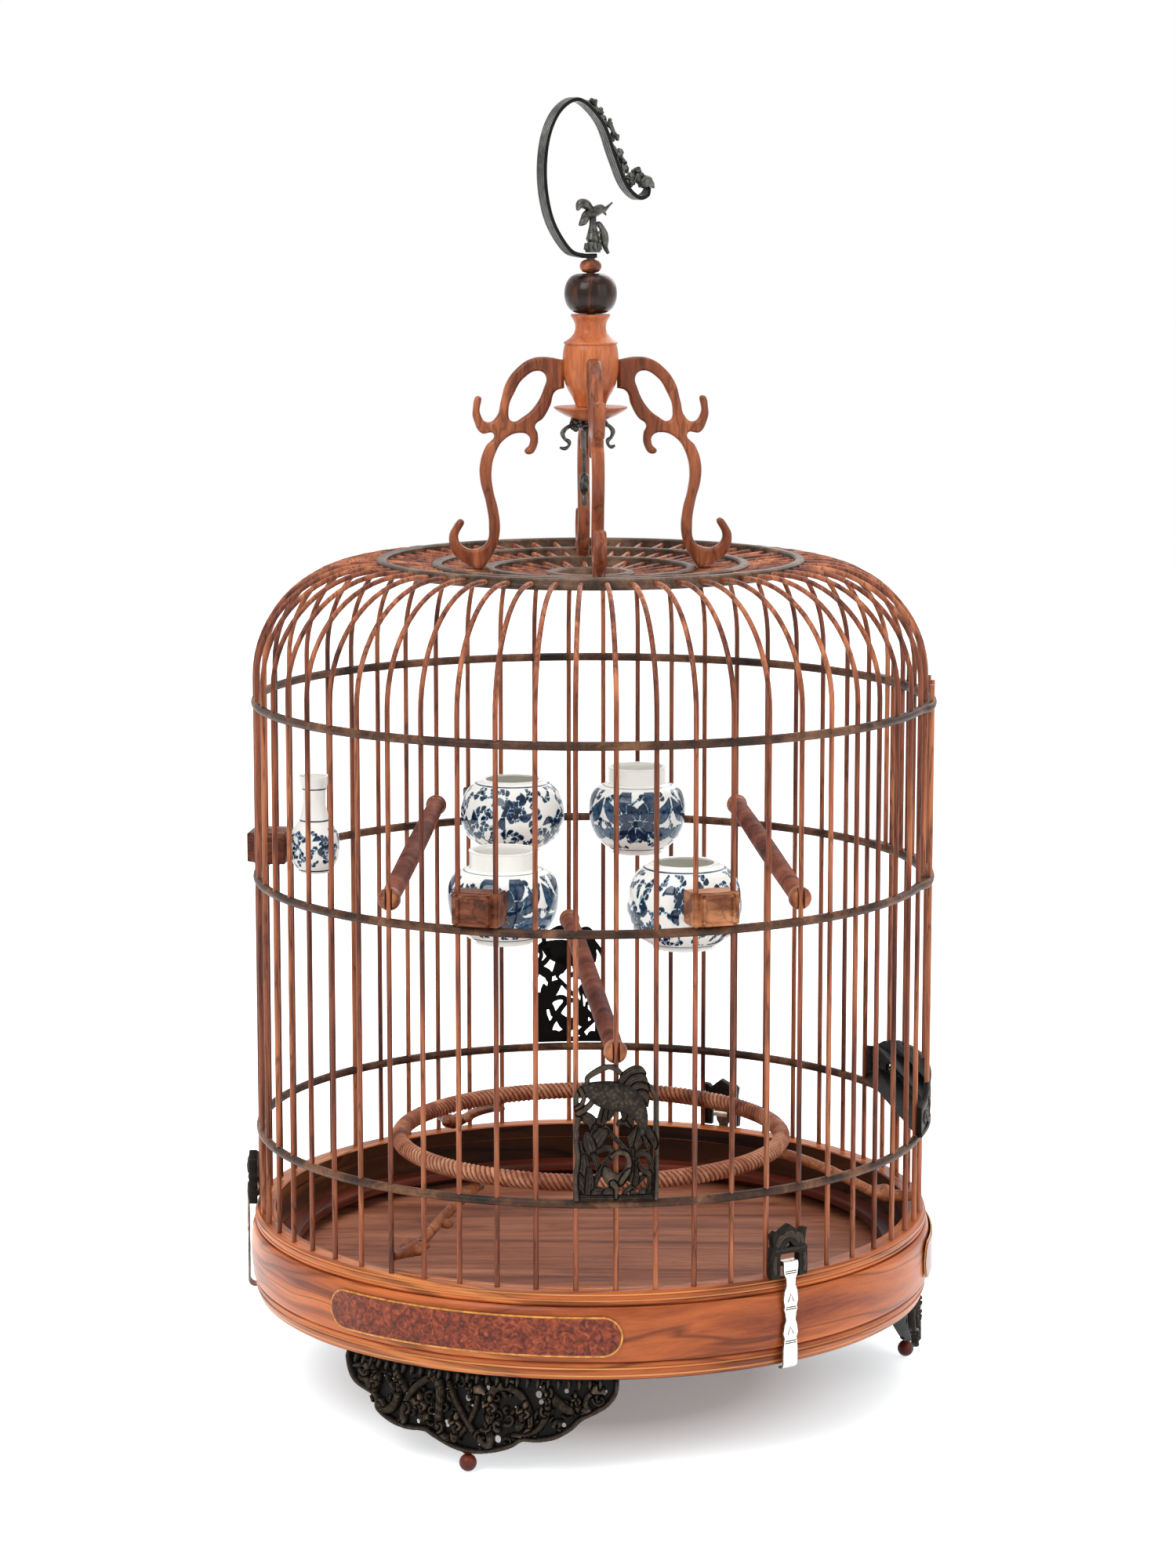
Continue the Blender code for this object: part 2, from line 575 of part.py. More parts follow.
def build_burl_panels(finish):
    """Thin veneer panels with rounded ends on the drum's bulge, one over each foot."""
    end_heights_share = (0.30, 0.72, 0.94)
    end_lengths_share = (0.0, 0.012, 0.045)
    flats = 7
    inset = 0.12
    inner_shares = [inset + (1.0 - 2.0 * inset) * step / flats for step in range(flats + 1)]
    length_shares = [*end_lengths_share, *inner_shares, *[1.0 - s for s in end_lengths_share[::-1]]]
    height_shares = [*end_heights_share, *[1.0] * (flats + 1), *end_heights_share[::-1]]
    middle = DRUM_BOTTOM + DRUM_HEIGHT / 2
    face = DRUM_BULGE_RADIUS + SEAT_GAP
    for index in range(3):
        start = FOOT_FIRST_DEGREES + 120.0 * index - BURL_SPAN_DEGREES / 2
        azimuths = [start + BURL_SPAN_DEGREES * share for share in length_shares]
        levels = [(middle - BURL_HEIGHT / 2 * s, middle + BURL_HEIGHT / 2 * s) for s in height_shares]
        shape = curved_lattice(azimuths, levels, face, face + BURL_THICKNESS)
        make_object(f"burl_panel_{index + 1}", shape, finish)


def build_clips(carved, silver):
    """A carved block stands on the cage ring; the strap hangs from it and grips the moulding."""
    slot_height = CAGE_RING_TOP + CLIP_ARCH_HEIGHT
    for index, azimuth in enumerate(CLIP_DEGREES):
        low = CAGE_RING_TOP + SEAT_GAP
        high = low + CLIP_BLOCK_HEIGHT
        half = CLIP_BLOCK_WIDTH / 2
        arch = CLIP_ARCH_WIDTH / 2
        rise = CLIP_ARCH_HEIGHT
        crown = ((half, high - half / 2), (half / 2, high - half / 6), (0.0, high),
                 (-half / 2, high - half / 6), (-half, high - half / 2))
        outline = [(-half, low), (-arch, low), (-arch, low + rise / 2), (-arch / 2, low + rise),
                   (arch / 2, low + rise), (arch, low + rise / 2), (arch, low), (half, low), *crown]
        depth = CLIP_BLOCK_OUTER_RADIUS - CLIP_BLOCK_INNER_RADIUS
        shape = extrude_outline(outline, depth)
        turned = Matrix.Rotation(math.radians(azimuth), 4, "Z")
        place = polar(CLIP_BLOCK_OUTER_RADIUS - depth / 2, azimuth, 0.0)
        bmesh.ops.transform(shape, matrix=Matrix.Translation(place) @ turned, verts=shape.verts)
        make_object(f"clip_block_{index + 1}", shape, carved)
        build_strap(index, azimuth, slot_height, silver)


def build_strap(index, azimuth, slot_height, finish):
    """The strap curls round its slot under the block's arch and hooks in below the moulding."""
    curl = CLIP_CURL_RADIUS
    face = DRUM_BULGE_RADIUS + SEAT_GAP * 2 + CLIP_STRAP_THICKNESS / 2
    centre = face - curl
    hook_z = MOULDING_BOTTOM - SEAT_GAP * 2 - CLIP_STRAP_THICKNESS / 2
    points = []
    for step in range(8):
        turn = math.radians(250.0 - step * 250.0 / 7)
        points.append((centre + curl * math.cos(turn), slot_height - curl * 2 + curl * math.sin(turn)))
    points += [(face, DRUM_BOTTOM), (face, hook_z + curl), (face - curl, hook_z)]
    points.append((face - curl - CLIP_HOOK_REACH, hook_z))
    path = [polar(r, 0.0, z) for r, z in points]
    normals = []
    for number, point in enumerate(path):
        along = path[min(number + 1, len(path) - 1)] - path[max(number - 1, 0)]
        normals.append(along.cross(Vector((1.0, 0.0, 0.0))))
    axis = pivot(f"clip_axis_{index + 1}", polar(centre, azimuth, slot_height - curl * 2),
                 math.radians(azimuth))
    shape = bmesh.new()
    sweep(shape, path, normals, [CLIP_STRAP_THICKNESS / 2] * len(path), CLIP_STRAP_WIDTH / 2)
    to_axis = axis.matrix_world.inverted() @ Matrix.Rotation(math.radians(azimuth), 4, "Z")
    bmesh.ops.transform(shape, matrix=to_axis, verts=shape.verts)
    strap = make_object(f"clip_{index + 1}", shape, finish)
    strap.parent = axis


def build_plates(finish):
    """Pierced plates with a stepped crown, hung on the bars at front and back."""
    height_shares = (0.78, 0.97, 1.0, 1.14, 1.26, 1.26, 1.14, 1.0, 0.97, 0.78)
    inner = BAR_CIRCLE_RADIUS + BAR_DIAMETER / 2 + SEAT_GAP
    low = LOWER_HOOP_HEIGHT + HOOP_THICKNESS / 2 + SEAT_GAP
    span = math.degrees(PLATE_WIDTH / inner)
    rim = PLATE_THICKNESS
    columns = len(height_shares) - 1
    crown_share = PLATE_CROWN_HEIGHT / PLATE_SHOULDER_HEIGHT
    open_cells = [(c, r) for c in (1, 3, 5, 7) for r in (1, 3)]
    for name, middle in (("front_plate", FRONT_PLATE_DEGREES), ("back_plate", BACK_PLATE_DEGREES)):
        azimuths = [middle + span * (c / columns - 0.5) for c in range(columns + 1)]
        levels = []
        for share in height_shares:
            top = low + PLATE_SHOULDER_HEIGHT * min(share, crown_share)
            step = (top - low - rim * 3) / 2
            levels.append((low, low + rim, low + rim + step, low + rim * 2 + step, top - rim, top))
        shape = curved_lattice(azimuths, levels, inner, inner + PLATE_THICKNESS, open_cells)
        make_object(name, shape, finish)


def build_door(carved, bar_wood):
    """The sliding door: an arched pierced plate on the lower hoop that carries six bars."""
    arch_shares = (0.0, 0.05, 0.25, 0.45, 0.62, 0.78, 0.90, 0.98, 1.0)
    heights = arch_shares + arch_shares[-2::-1]
    columns = len(heights) - 1
    low = LOWER_HOOP_HEIGHT + HOOP_THICKNESS / 2 + SEAT_GAP
    middle = bar_degrees(DOOR_FIRST_BAR) + (DOOR_BAR_COUNT - 1) * BAR_STEP / 2
    azimuths = [middle + DOOR_PLATE_SPAN_DEGREES * (c / columns - 0.5) for c in range(columns + 1)]
    rim = DOOR_PLATE_THICKNESS
    levels = []
    for share in heights:
        top = low + DOOR_PLATE_END_HEIGHT + (DOOR_PLATE_CROWN_HEIGHT - DOOR_PLATE_END_HEIGHT) * share
        levels.append((low, low + rim, top - rim, top))
    outer = DOOR_PLATE_INNER_RADIUS + DOOR_PLATE_THICKNESS
    open_cells = [(c, 1) for c in range(1, columns - 1) if c % 2]
    shape = curved_lattice(azimuths, levels, DOOR_PLATE_INNER_RADIUS, outer, open_cells)
    door = make_object("sliding_door", shape, carved)
    door.data.materials.append(bar_wood)
    combine(door, door_bars("door_rods", low + rim / 2), "UNION")


def bead_profile(low, high, wide, count):
    """Outer line of a flattened bead whose ends are flat."""
    end_share = 0.52
    profile = []
    for index in range(count + 1):
        turn = math.pi * index / count
        radius = wide * (end_share + (1.0 - end_share) * math.sin(turn))
        profile.append((radius, (low + high) / 2 - (high - low) / 2 * math.cos(turn)))
    return profile


def build_hub(warm, dark, metal):
    """Turned pieces threaded on the hook's shank, each with its bore."""
    bore = SHANK_DIAMETER / 2 + SEAT_GAP
    sides = 14
    radius = SAUCER_DIAMETER / 2
    height = SAUCER_TOP - SAUCER_BOTTOM
    saucer_shares = ((0.62, 0.0), (1.0, 0.70), (1.0, 1.0))
    saucer = [(bore, SAUCER_BOTTOM)] + [(radius * r, SAUCER_BOTTOM + height * z) for r, z in saucer_shares]
    saucer.append((bore, SAUCER_TOP))
    make_object("hub_saucer", revolve(saucer, sides, closed=True), warm)
    radius = URN_DIAMETER / 2
    bottom = SAUCER_TOP + SEAT_GAP
    tall = URN_TOP - bottom
    urn_shares = ((0.55, 0.0), (0.62, 0.12), (0.94, 0.22), (1.0, 0.42), (0.80, 0.56), (0.95, 0.66),
                  (0.52, 0.80), (0.52, 0.88), (0.71, 0.97), (0.71, 1.0))
    urn = [(bore, bottom)] + [(radius * r, bottom + tall * z) for r, z in urn_shares] + [(bore, URN_TOP)]
    make_object("hub_urn", revolve(urn, sides, closed=True), warm)
    low = LARGE_BEAD_BOTTOM
    high = low + LARGE_BEAD_HEIGHT
    large = [(bore, low)] + bead_profile(low, high, LARGE_BEAD_DIAMETER / 2, 7) + [(bore, high)]
    swivel = build_hook(metal)
    make_object("large_bead", revolve(large, sides, closed=True), dark, parent=swivel)
    low = high + SEAT_GAP
    high = low + SMALL_BEAD_HEIGHT
    small = [(bore, low)] + bead_profile(low, high, SMALL_BEAD_DIAMETER / 2, 4) + [(bore, high)]
    make_object("small_bead", revolve(small, sides // 2, closed=True), warm, parent=swivel)


def build_arms(finish):
    """S-shaped arms: a scrolled head, a waist and a clawed foot that stands on a bar."""
    outer_shares = ((0.80, 0.00), (0.90, 0.04), (0.97, 0.08), (1.00, 0.14), (0.97, 0.19), (0.91, 0.22),
                    (0.92, 0.15), (0.88, 0.11), (0.79, 0.10), (0.73, 0.13), (0.72, 0.20), (0.74, 0.31),
                    (0.78, 0.42), (0.78, 0.50), (0.73, 0.58), (0.68, 0.63), (0.79, 0.65), (0.82, 0.70),
                    (0.82, 0.75), (0.79, 0.79), (0.77, 0.73), (0.72, 0.69), (0.65, 0.72), (0.63, 0.79),
                    (0.59, 0.88), (0.51, 0.95), (0.42, 0.99), (0.33, 1.00))
    inner_shares = ((0.28, 0.78), (0.33, 0.71), (0.39, 0.68), (0.37, 0.65), (0.37, 0.58),
                    (0.42, 0.54), (0.46, 0.55), (0.43, 0.59), (0.44, 0.63), (0.50, 0.64), (0.60, 0.61),
                    (0.66, 0.55), (0.69, 0.46), (0.68, 0.37), (0.64, 0.28), (0.63, 0.17), (0.68, 0.08),
                    (0.755, -0.0028))
    hole_shares = ((0.36, 0.93), (0.46, 0.90), (0.53, 0.83), (0.57, 0.75), (0.55, 0.70), (0.47, 0.72),
                   (0.39, 0.77), (0.33, 0.85), (0.31, 0.90))
    foot = roof_height(ARM_REACH * outer_shares[0][0]) + BAR_SIDE / 2 + SEAT_GAP
    rise = ARM_TOP - foot
    head_shares = (0.98, 0.87)
    head = URN_DIAMETER / 2 + SEAT_GAP
    outline = [(ARM_REACH * r, foot + rise * z) for r, z in outer_shares]
    outline += [(head, foot + rise * z) for z in head_shares]
    outline += [(ARM_REACH * r, foot + rise * z) for r, z in inner_shares]
    hole = [(ARM_REACH * r, foot + rise * z) for r, z in hole_shares]
    shape = extrude_outline(outline, ARM_THICKNESS, hole)
    first = make_object("arm_1", shape, finish, rotation=facing(bar_degrees(0)))
    for index in range(1, 4):
        arm = bpy.data.objects.new(f"arm_{index + 1}", first.data)
        arm.rotation_euler.z = facing(bar_degrees(index * BAR_COUNT // 4))
        bpy.context.scene.collection.objects.link(arm)


def smooth_path(points, steps):
    """Catmull-Rom points through a few hand-set ones."""
    padded = [points[0], *points, points[-1]]
    path = []
    for a, b, c, d in zip(padded, padded[1:], padded[2:], padded[3:]):
        for step in range(steps):
            t = step / steps
            path.append(0.5 * (2 * b + (c - a) * t + (2 * a - 5 * b + 4 * c - d) * t * t
                               + (3 * b - a - 3 * c + d) * t ** 3))
    return path + [points[-1]]


def path_normals(path, across):
    """Normals of a flat strip whose width lies along one direction."""
    normals = []
    for number in range(len(path)):
        along = path[min(number + 1, len(path) - 1)] - path[max(number - 1, 0)]
        normals.append(along.cross(across))
    return normals


def hook_points():
    """The hook's centreline, as shares of its height above the foot and of its left reach."""
    route_shares = ((0.0, 0.0), (-0.26, 0.005), (-0.55, 0.06), (-0.90, 0.25), (-1.0, 0.50), (-0.94, 0.74),
                    (-0.67, 0.94), (-0.27, 1.0), (0.18, 0.84), (0.44, 0.63), (0.67, 0.46), (1.0, 0.38),
                    (1.18, 0.42))
    base = Vector((0.0, 0.0, HOOK_FOOT_HEIGHT + HOOK_THICKNESS / 2))
    tall = HOOK_TOP - HOOK_THICKNESS - HOOK_FOOT_HEIGHT
    return [base + Vector((HOOK_REACH * x, 0.0, tall * z)) for x, z in route_shares]


def build_hook(metal):
    """The strap bends to an open hook over the axis; its shank runs down through the hub."""
    swivel = pivot("hook_axis", (0.0, 0.0, 0.0))
    turn = math.radians(HOOK_TURN_DEGREES)
    path = smooth_path(hook_points(), 2)
    shape = bmesh.new()
    across = Vector((0.0, 1.0, 0.0))
    half = HOOK_THICKNESS / 2
    sweep(shape, path, path_normals(path, across), [half] * len(path), HOOK_WIDTH / 2)
    strap = make_object("hook_strap", shape, metal, parent=swivel)
    stem = bmesh.new()
    radius = SHANK_DIAMETER / 2
    bottom = SAUCER_BOTTOM - SEAT_GAP - PENDANT_COLLAR_HEIGHT
    ends = [Vector((0.0, 0.0, z)) for z in (bottom, HOOK_FOOT_HEIGHT + half)]
    tube(stem, ends, [radius] * 2, 8)
    combine(strap, hide_as_guide(make_object("hook_shank", stem, None, parent=swivel)), "UNION")
    build_pendant(metal, swivel)
    build_hook_vine(metal, swivel)
    build_hook_figure(metal, swivel)
    swivel.rotation_euler.z = turn
    bpy.context.view_layer.update()
    return swivel


def build_pendant(metal, swivel):
    """A collar with two curls on the shank's end, and beside it a rod with a turned drop."""
    top = SAUCER_BOTTOM - SEAT_GAP
    bore = SHANK_DIAMETER / 2 + SEAT_GAP
    low = top - PENDANT_COLLAR_HEIGHT
    wide = PENDANT_COLLAR_DIAMETER / 2
    collar_shares = ((0.80, 0.0), (1.0, 0.50), (0.90, 1.0))
    collar = [(bore, low)] + [(wide * r, low + PENDANT_COLLAR_HEIGHT * z) for r, z in collar_shares]
    collar.append((bore, top))
    fitting = make_object("pendant_fitting", revolve(collar, 12, closed=True), metal, parent=swivel)
    curl_shares = ((0.30, 0.55), (0.58, 0.30), (0.85, -0.10), (0.80, -0.75), (0.62, -1.25), (0.80, -1.85),
                   (1.0, -1.75))
    side_shares = {"left_curl": -1.0, "right_curl": 0.72}
    for name, side in side_shares.items():
        points = [Vector((side * PENDANT_CURL_REACH * x, 0.0, low + PENDANT_COLLAR_HEIGHT * z))
                  for x, z in curl_shares]
        curl = bmesh.new()
        tube(curl, points, [PENDANT_ROD_DIAMETER / 2] * len(points), 5)
        combine(fitting, hide_as_guide(make_object(name, curl, None, parent=swivel)), "UNION")
    rod_top = low - SEAT_GAP
    rod_bottom = rod_top - PENDANT_ROD_LENGTH
    thin = PENDANT_ROD_DIAMETER / 2
    bulb = PENDANT_BULB_DIAMETER / 2
    drop = PENDANT_DROP_DIAMETER / 2
    bulb_low = rod_bottom - PENDANT_BULB_HEIGHT
    bulb_shares = ((0.80, 0.25), (1.0, 0.70))
    profile = [(0.0, bulb_low - PENDANT_DROP_HEIGHT), (drop, bulb_low - PENDANT_DROP_HEIGHT / 2),
               (thin / 2, bulb_low)]
    profile += [(bulb * r, bulb_low + PENDANT_BULB_HEIGHT * z) for r, z in bulb_shares]
    profile += [(thin, rod_bottom), (thin, rod_top), (0.0, rod_top)]
    shape = revolve(profile, 8, centre=(PENDANT_OFFSET, 0.0))
    make_object("pendant_rod", shape, metal, parent=swivel)


def build_hook_vine(metal, swivel):
    """Grape vine cast along the hook's outer right side, ending in a beast's head."""
    path = smooth_path(hook_points(), 4)
    stretch = path[31:46]
    swell_shares = (0.4, 0.7, 0.5, 1.0, 0.6, 1.1, 0.6, 1.2, 0.7, 1.1, 0.6, 1.0, 1.5, 1.3, 0.5)
    clear_share = 1.1
    points = []
    radii = []
    for number, point in enumerate(stretch):
        along = path[32 + number] - path[30 + number]
        out = along.cross(Vector((0.0, 1.0, 0.0))).normalized()
        radius = HOOK_VINE_RADIUS * swell_shares[number]
        points.append(point + out * (HOOK_THICKNESS / 2 + SEAT_GAP + radius * clear_share))
        radii.append(radius)
    shape = bmesh.new()
    tube(shape, points, radii, 8)
    make_object("hook_vine", shape, metal, parent=swivel)


def build_hook_figure(metal, swivel):
    """A long-beaked bird on a lotus post, standing on the strap at the hook's foot."""
    low = HOOK_FOOT_HEIGHT + HOOK_THICKNESS + SEAT_GAP * 2
    tall = HOOK_FIGURE_HEIGHT
    wide = HOOK_FIGURE_WIDTH / 2
    post_offset_share = 0.35
    body_share = 0.8
    centre = (wide * post_offset_share, 0.0)
    post_shares = ((0.0, 0.0), (0.75, 0.0), (1.0, 0.10), (0.85, 0.20), (0.45, 0.26), (0.75, 0.34),
                   (0.45, 0.50), (0.40, 0.78), (0.0, 0.78))
    post = [(wide * body_share * r, low + tall * z) for r, z in post_shares]
    figure = make_object("hook_figure", revolve(post, 8, centre=centre), metal, parent=swivel)
    bird_shares = ((-1.7, 0.70, 0.10), (-1.1, 0.82, 0.45), (-0.4, 0.80, 0.60), (0.4, 0.86, 0.50),
                   (1.1, 0.90, 0.42), (1.6, 0.86, 0.25), (2.9, 0.97, 0.08))
    points = [Vector((centre[0] + wide * x, 0.0, low + tall * z)) for x, z, _ in bird_shares]
    bird = bmesh.new()
    tube(bird, points, [wide * body_share * share for _, _, share in bird_shares], 6)
    combine(figure, hide_as_guide(make_object("bird_body", bird, None, parent=swivel)), "UNION")
    creature_shares = ((0.4, 0.12, 0.625), (2.1, 0.18, 0.40), (1.9, 0.36, 0.42), (1.3, 0.55, 0.30))
    points = [Vector((centre[0] + wide * x, 0.0, low + tall * z)) for x, z, _ in creature_shares]
    creature = bmesh.new()
    tube(creature, points, [wide * body_share * share for _, _, share in creature_shares], 6)
    combine(figure, hide_as_guide(make_object("small_creature", creature, None, parent=swivel)), "UNION")


def perch_ends(number_from, number_to):
    """Where the two bars that a perch grips stand, as world x and y."""
    return [polar(BAR_CIRCLE_RADIUS, bar_degrees(number), 0.0) for number in (number_from, number_to)]


def build_perch(name, number_from, number_to, height, finish):
    """A round stick with an end knob at each bar, slotted to grip the bar."""
    first, second = perch_ends(number_from, number_to)
    span = (second - first).length
    radius = PERCH_DIAMETER / 2
    knob = PERCH_KNOB_DIAMETER / 2
    tip_share = 0.8
    end = span / 2 + PERCH_SLOT_DEPTH / 3
    neck = end - PERCH_KNOB_LENGTH
    tip = knob * tip_share
    profile = [(0.0, -end), (tip, -end), (knob, -end + knob / 3), (knob, -neck), (radius, -neck),
               (radius, neck), (knob, neck), (knob, end - knob / 3), (tip, end), (0.0, end)]
    shape = revolve(profile, 10)
    along = second - first
    lie = Matrix.Rotation(math.pi / 2, 4, "Y")
    aim = Matrix.Rotation(math.atan2(along.y, along.x), 4, "Z")
    bmesh.ops.transform(shape, matrix=aim @ lie, verts=shape.verts)
    middle = (first + second) / 2 + Vector((0.0, 0.0, height))
    perch = make_object(name, shape, finish, location=middle)
    slots = bmesh.new()
    for point in (first, second):
        inward = (middle - point).xy.normalized().to_3d()
        reach = BAR_SIDE / math.sqrt(2) + SEAT_GAP
        cut_from = point + inward * reach
        cut_to = point - inward * (PERCH_SLOT_DEPTH + CUT_OVERRUN)
        tall = knob + CUT_OVERRUN
        across = inward.cross(Vector((0.0, 0.0, 1.0)))
        ends = [Vector((*p.xy, height)) for p in (cut_from, cut_to)]
        sweep(slots, ends, [across] * 2, [reach] * 2, tall)
    combine(perch, hide_as_guide(make_object(name + "_slots", slots, None)), "DIFFERENCE")
    return perch


def build_ring_perch(finish, clamp_finish):
    """A round perch low in the cage, on three arms that run down and out to the bars."""
    tube_radius = RING_PERCH_TUBE_DIAMETER / 2
    centre_radius = RING_PERCH_OUTER_RADIUS - tube_radius
    profile = []
    for side in range(6):
        turn = math.pi / 6 + side * math.pi / 3
        profile.append((centre_radius + tube_radius * math.cos(turn),
                        RING_PERCH_HEIGHT + tube_radius * math.sin(turn)))
    shape = revolve(profile, HOOP_SEGMENTS, closed=True)
    make_object("ring_perch", shape, finish, rotation=facing(bar_degrees(0)))
    thick = CLAMP_DIAMETER / 2
    under_ring = RING_PERCH_HEIGHT - tube_radius - SEAT_GAP - thick
    tip = BAR_CIRCLE_RADIUS - BAR_SIDE / 2 - SEAT_GAP
    slope = tip - RING_PERCH_OUTER_RADIUS
    route_shares = (0.70, 0.80, 0.93)
    points = [(centre_radius - tube_radius, under_ring), (RING_PERCH_OUTER_RADIUS, under_ring)]
    points += [(RING_PERCH_OUTER_RADIUS + slope * share, CLAMP_TIP_HEIGHT) for share in route_shares]
    points.append((tip, CLAMP_TIP_HEIGHT))
    swell_shares = (0.8, 1.0, 0.9, 1.35, 0.7, 1.1)
    for index, number in enumerate(CLAMP_BARS):
        shape = bmesh.new()
        tube(shape, [Vector((r, 0.0, z)) for r, z in points], [thick * share for share in swell_shares], 6)
        make_object(f"perch_clamp_{index + 1}", shape, clamp_finish, rotation=facing(bar_degrees(number)))


def pot_profile(radius, low, tall, wall, shares, followed):
    """Outer line from (radius, height) shares, and an inside that follows some of its points."""
    outer = [(radius * r, low + tall * z) for r, z in shares]
    inner = [(outer[number][0] - wall, outer[number][1]) for number in followed]
    floor = [(outer[0][0], low + wall), (0.0, low + wall)]
    return [(0.0, low), *outer, *inner, *floor]


def build_pots(porcelain):
    """Four food and water pots and a small vase, open at the top."""
    form_shares = {
        "bowl": ((0.55, 0.0), (0.86, 0.18), (1.0, 0.50), (0.95, 0.78), (0.62, 0.97), (0.58, 1.0)),
        "jar": ((0.55, 0.0), (0.92, 0.25), (1.0, 0.55), (0.88, 0.76), (0.62, 0.80), (0.62, 1.0)),
        "bottle": ((0.66, 0.0), (0.97, 0.14), (1.0, 0.28), (0.54, 0.54), (0.44, 0.74), (0.61, 1.0)),
    }
    inside = {"bowl": (5, 4, 2), "jar": (5, 4, 2), "bottle": (5, 4, 3, 2)}
    vase = ("vase", VASE_GAP, VASE_DIAMETER, VASE_BOTTOM, VASE_BOTTOM + VASE_HEIGHT,
            VASE_HOLDER_DEPTH, "bottle")
    for name, number, diameter, low, high, depth, form in (*POTS, vase):
        wall = VASE_WALL if form == "bottle" else POT_WALL
        profile = pot_profile(diameter / 2, low, high - low, wall, form_shares[form], inside[form])
        azimuth = bar_degrees(number)
        reach = holder_inner_radius(depth) - SEAT_GAP - diameter / 2
        make_object(name, revolve(profile, 12), porcelain, rotation=facing(azimuth),
                    location=polar(reach, azimuth, 0.0))


def holder_inner_radius(depth):
    """How far from the axis a holder's inner face is."""
    return BAR_CIRCLE_RADIUS - BAR_DIAMETER / 2 - depth


def build_holders(finish):
    """Wooden blocks on the middle hoop that grip two bars and carry a pot on their inner face."""
    places = [(name + "_holder", number, depth) for name, number, _, _, _, depth, _ in POTS]
    places.append(("vase_holder", VASE_GAP, VASE_HOLDER_DEPTH))
    low = MIDDLE_HOOP_HEIGHT + HOOP_THICKNESS / 2 + SEAT_GAP
    high = low + HOLDER_HEIGHT
    half = HOLDER_WIDTH / 2
    front = HOLDER_OUTER_RADIUS
    corner_share = 0.4
    corner = half * corner_share
    for name, number, depth in places:
        azimuth = bar_degrees(number)
        inner = holder_inner_radius(depth)
        shape = bmesh.new()
        outline = ((inner, -half), (front - corner, -half), (front, -corner), (front, corner),
                   (front - corner, half), (inner, half))
        base = [shape.verts.new((x, y, low)) for x, y in outline]
        face = shape.faces.new(base)
        grown = bmesh.ops.extrude_face_region(shape, geom=[face])
        lifted = [item for item in grown["geom"] if isinstance(item, bmesh.types.BMVert)]
        bmesh.ops.translate(shape, verts=lifted, vec=(0.0, 0.0, high - low))
        block = make_object(name, shape, finish, rotation=facing(azimuth))
        slots = bmesh.new()
        side = BAR_SIDE / 2 + BAR_HOLE_CLEARANCE
        heights = (low - CUT_OVERRUN, high + CUT_OVERRUN)
        for neighbour in (azimuth - BAR_STEP / 2, azimuth + BAR_STEP / 2):
            ends = [polar(BAR_CIRCLE_RADIUS, neighbour, z) for z in heights]
            sweep(slots, ends, [polar(1.0, neighbour, 0.0)] * 2, [side] * 2, side)
        combine(block, hide_as_guide(make_object(name + "_bar_slots", slots, None)), "DIFFERENCE")


def main():
    for thing in list(bpy.data.objects):
        bpy.data.objects.remove(thing)
    bar_wood = material("bar_wood", (0.42, 0.16, 0.08), 0.45)
    hoop_wood = material("hoop_wood", (0.10, 0.05, 0.03), 0.40)
    ring_wood = material("ring_wood", (0.12, 0.09, 0.07), 0.45)
    drum_wood = material("drum_wood", (0.50, 0.14, 0.04), 0.35)
    hub_wood = material("hub_wood", (0.40, 0.10, 0.04), 0.40)
    bead_wood = material("bead_wood", (0.04, 0.015, 0.01), 0.12)
    burl = material("burl", (0.26, 0.03, 0.01), 0.25)
    floor_wood = material("floor_wood", (0.22, 0.07, 0.04), 0.55)
    carved_wood = material("carved_wood", (0.03, 0.026, 0.022), 0.45)
    gunmetal = material("gunmetal", (0.05, 0.05, 0.045), 0.35, 0.9)
    silver = material("silver", (0.75, 0.70, 0.62), 0.25, 1.0)
    porcelain = material("porcelain", (0.85, 0.85, 0.80), 0.10)
    holes = build_hoops(hoop_wood)
    build_roof_rings(ring_wood, holes)
    build_cage_bars(bar_wood)
    build_base(drum_wood, burl, floor_wood)
    build_feet(carved_wood)
    build_burl_panels(burl)
    build_clips(carved_wood, silver)
    build_plates(carved_wood)
    build_door(carved_wood, bar_wood)
    build_hub(hub_wood, bead_wood, gunmetal)
    build_arms(hub_wood)
    build_perch("perch_left", -24, -6, HIGH_PERCH_HEIGHT, bar_wood)
    build_perch("perch_right", 5, 23, HIGH_PERCH_HEIGHT, bar_wood)
    build_perch("perch_centre", 0, 28, LOW_PERCH_HEIGHT, bar_wood)
    build_ring_perch(bar_wood, bead_wood)
    build_pots(porcelain)
    build_holders(bead_wood)


main()
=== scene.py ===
# The looks of the round wooden birdcage: turned and carved woods, cast metal and blue-and-white porcelain.
# Metres, +Z up, in the imported model's frame. Azimuth 0 is the cage's front (-Y), +90 its right side (+X).
# Tables of points are in millimetres where a function divides them by 1000, or else in metres or shares.
import random
from math import cos, degrees, dist, hypot, pi, radians, sin, sqrt, tan

import bmesh
import bpy
import numpy as np
from mathutils import Matrix, Vector


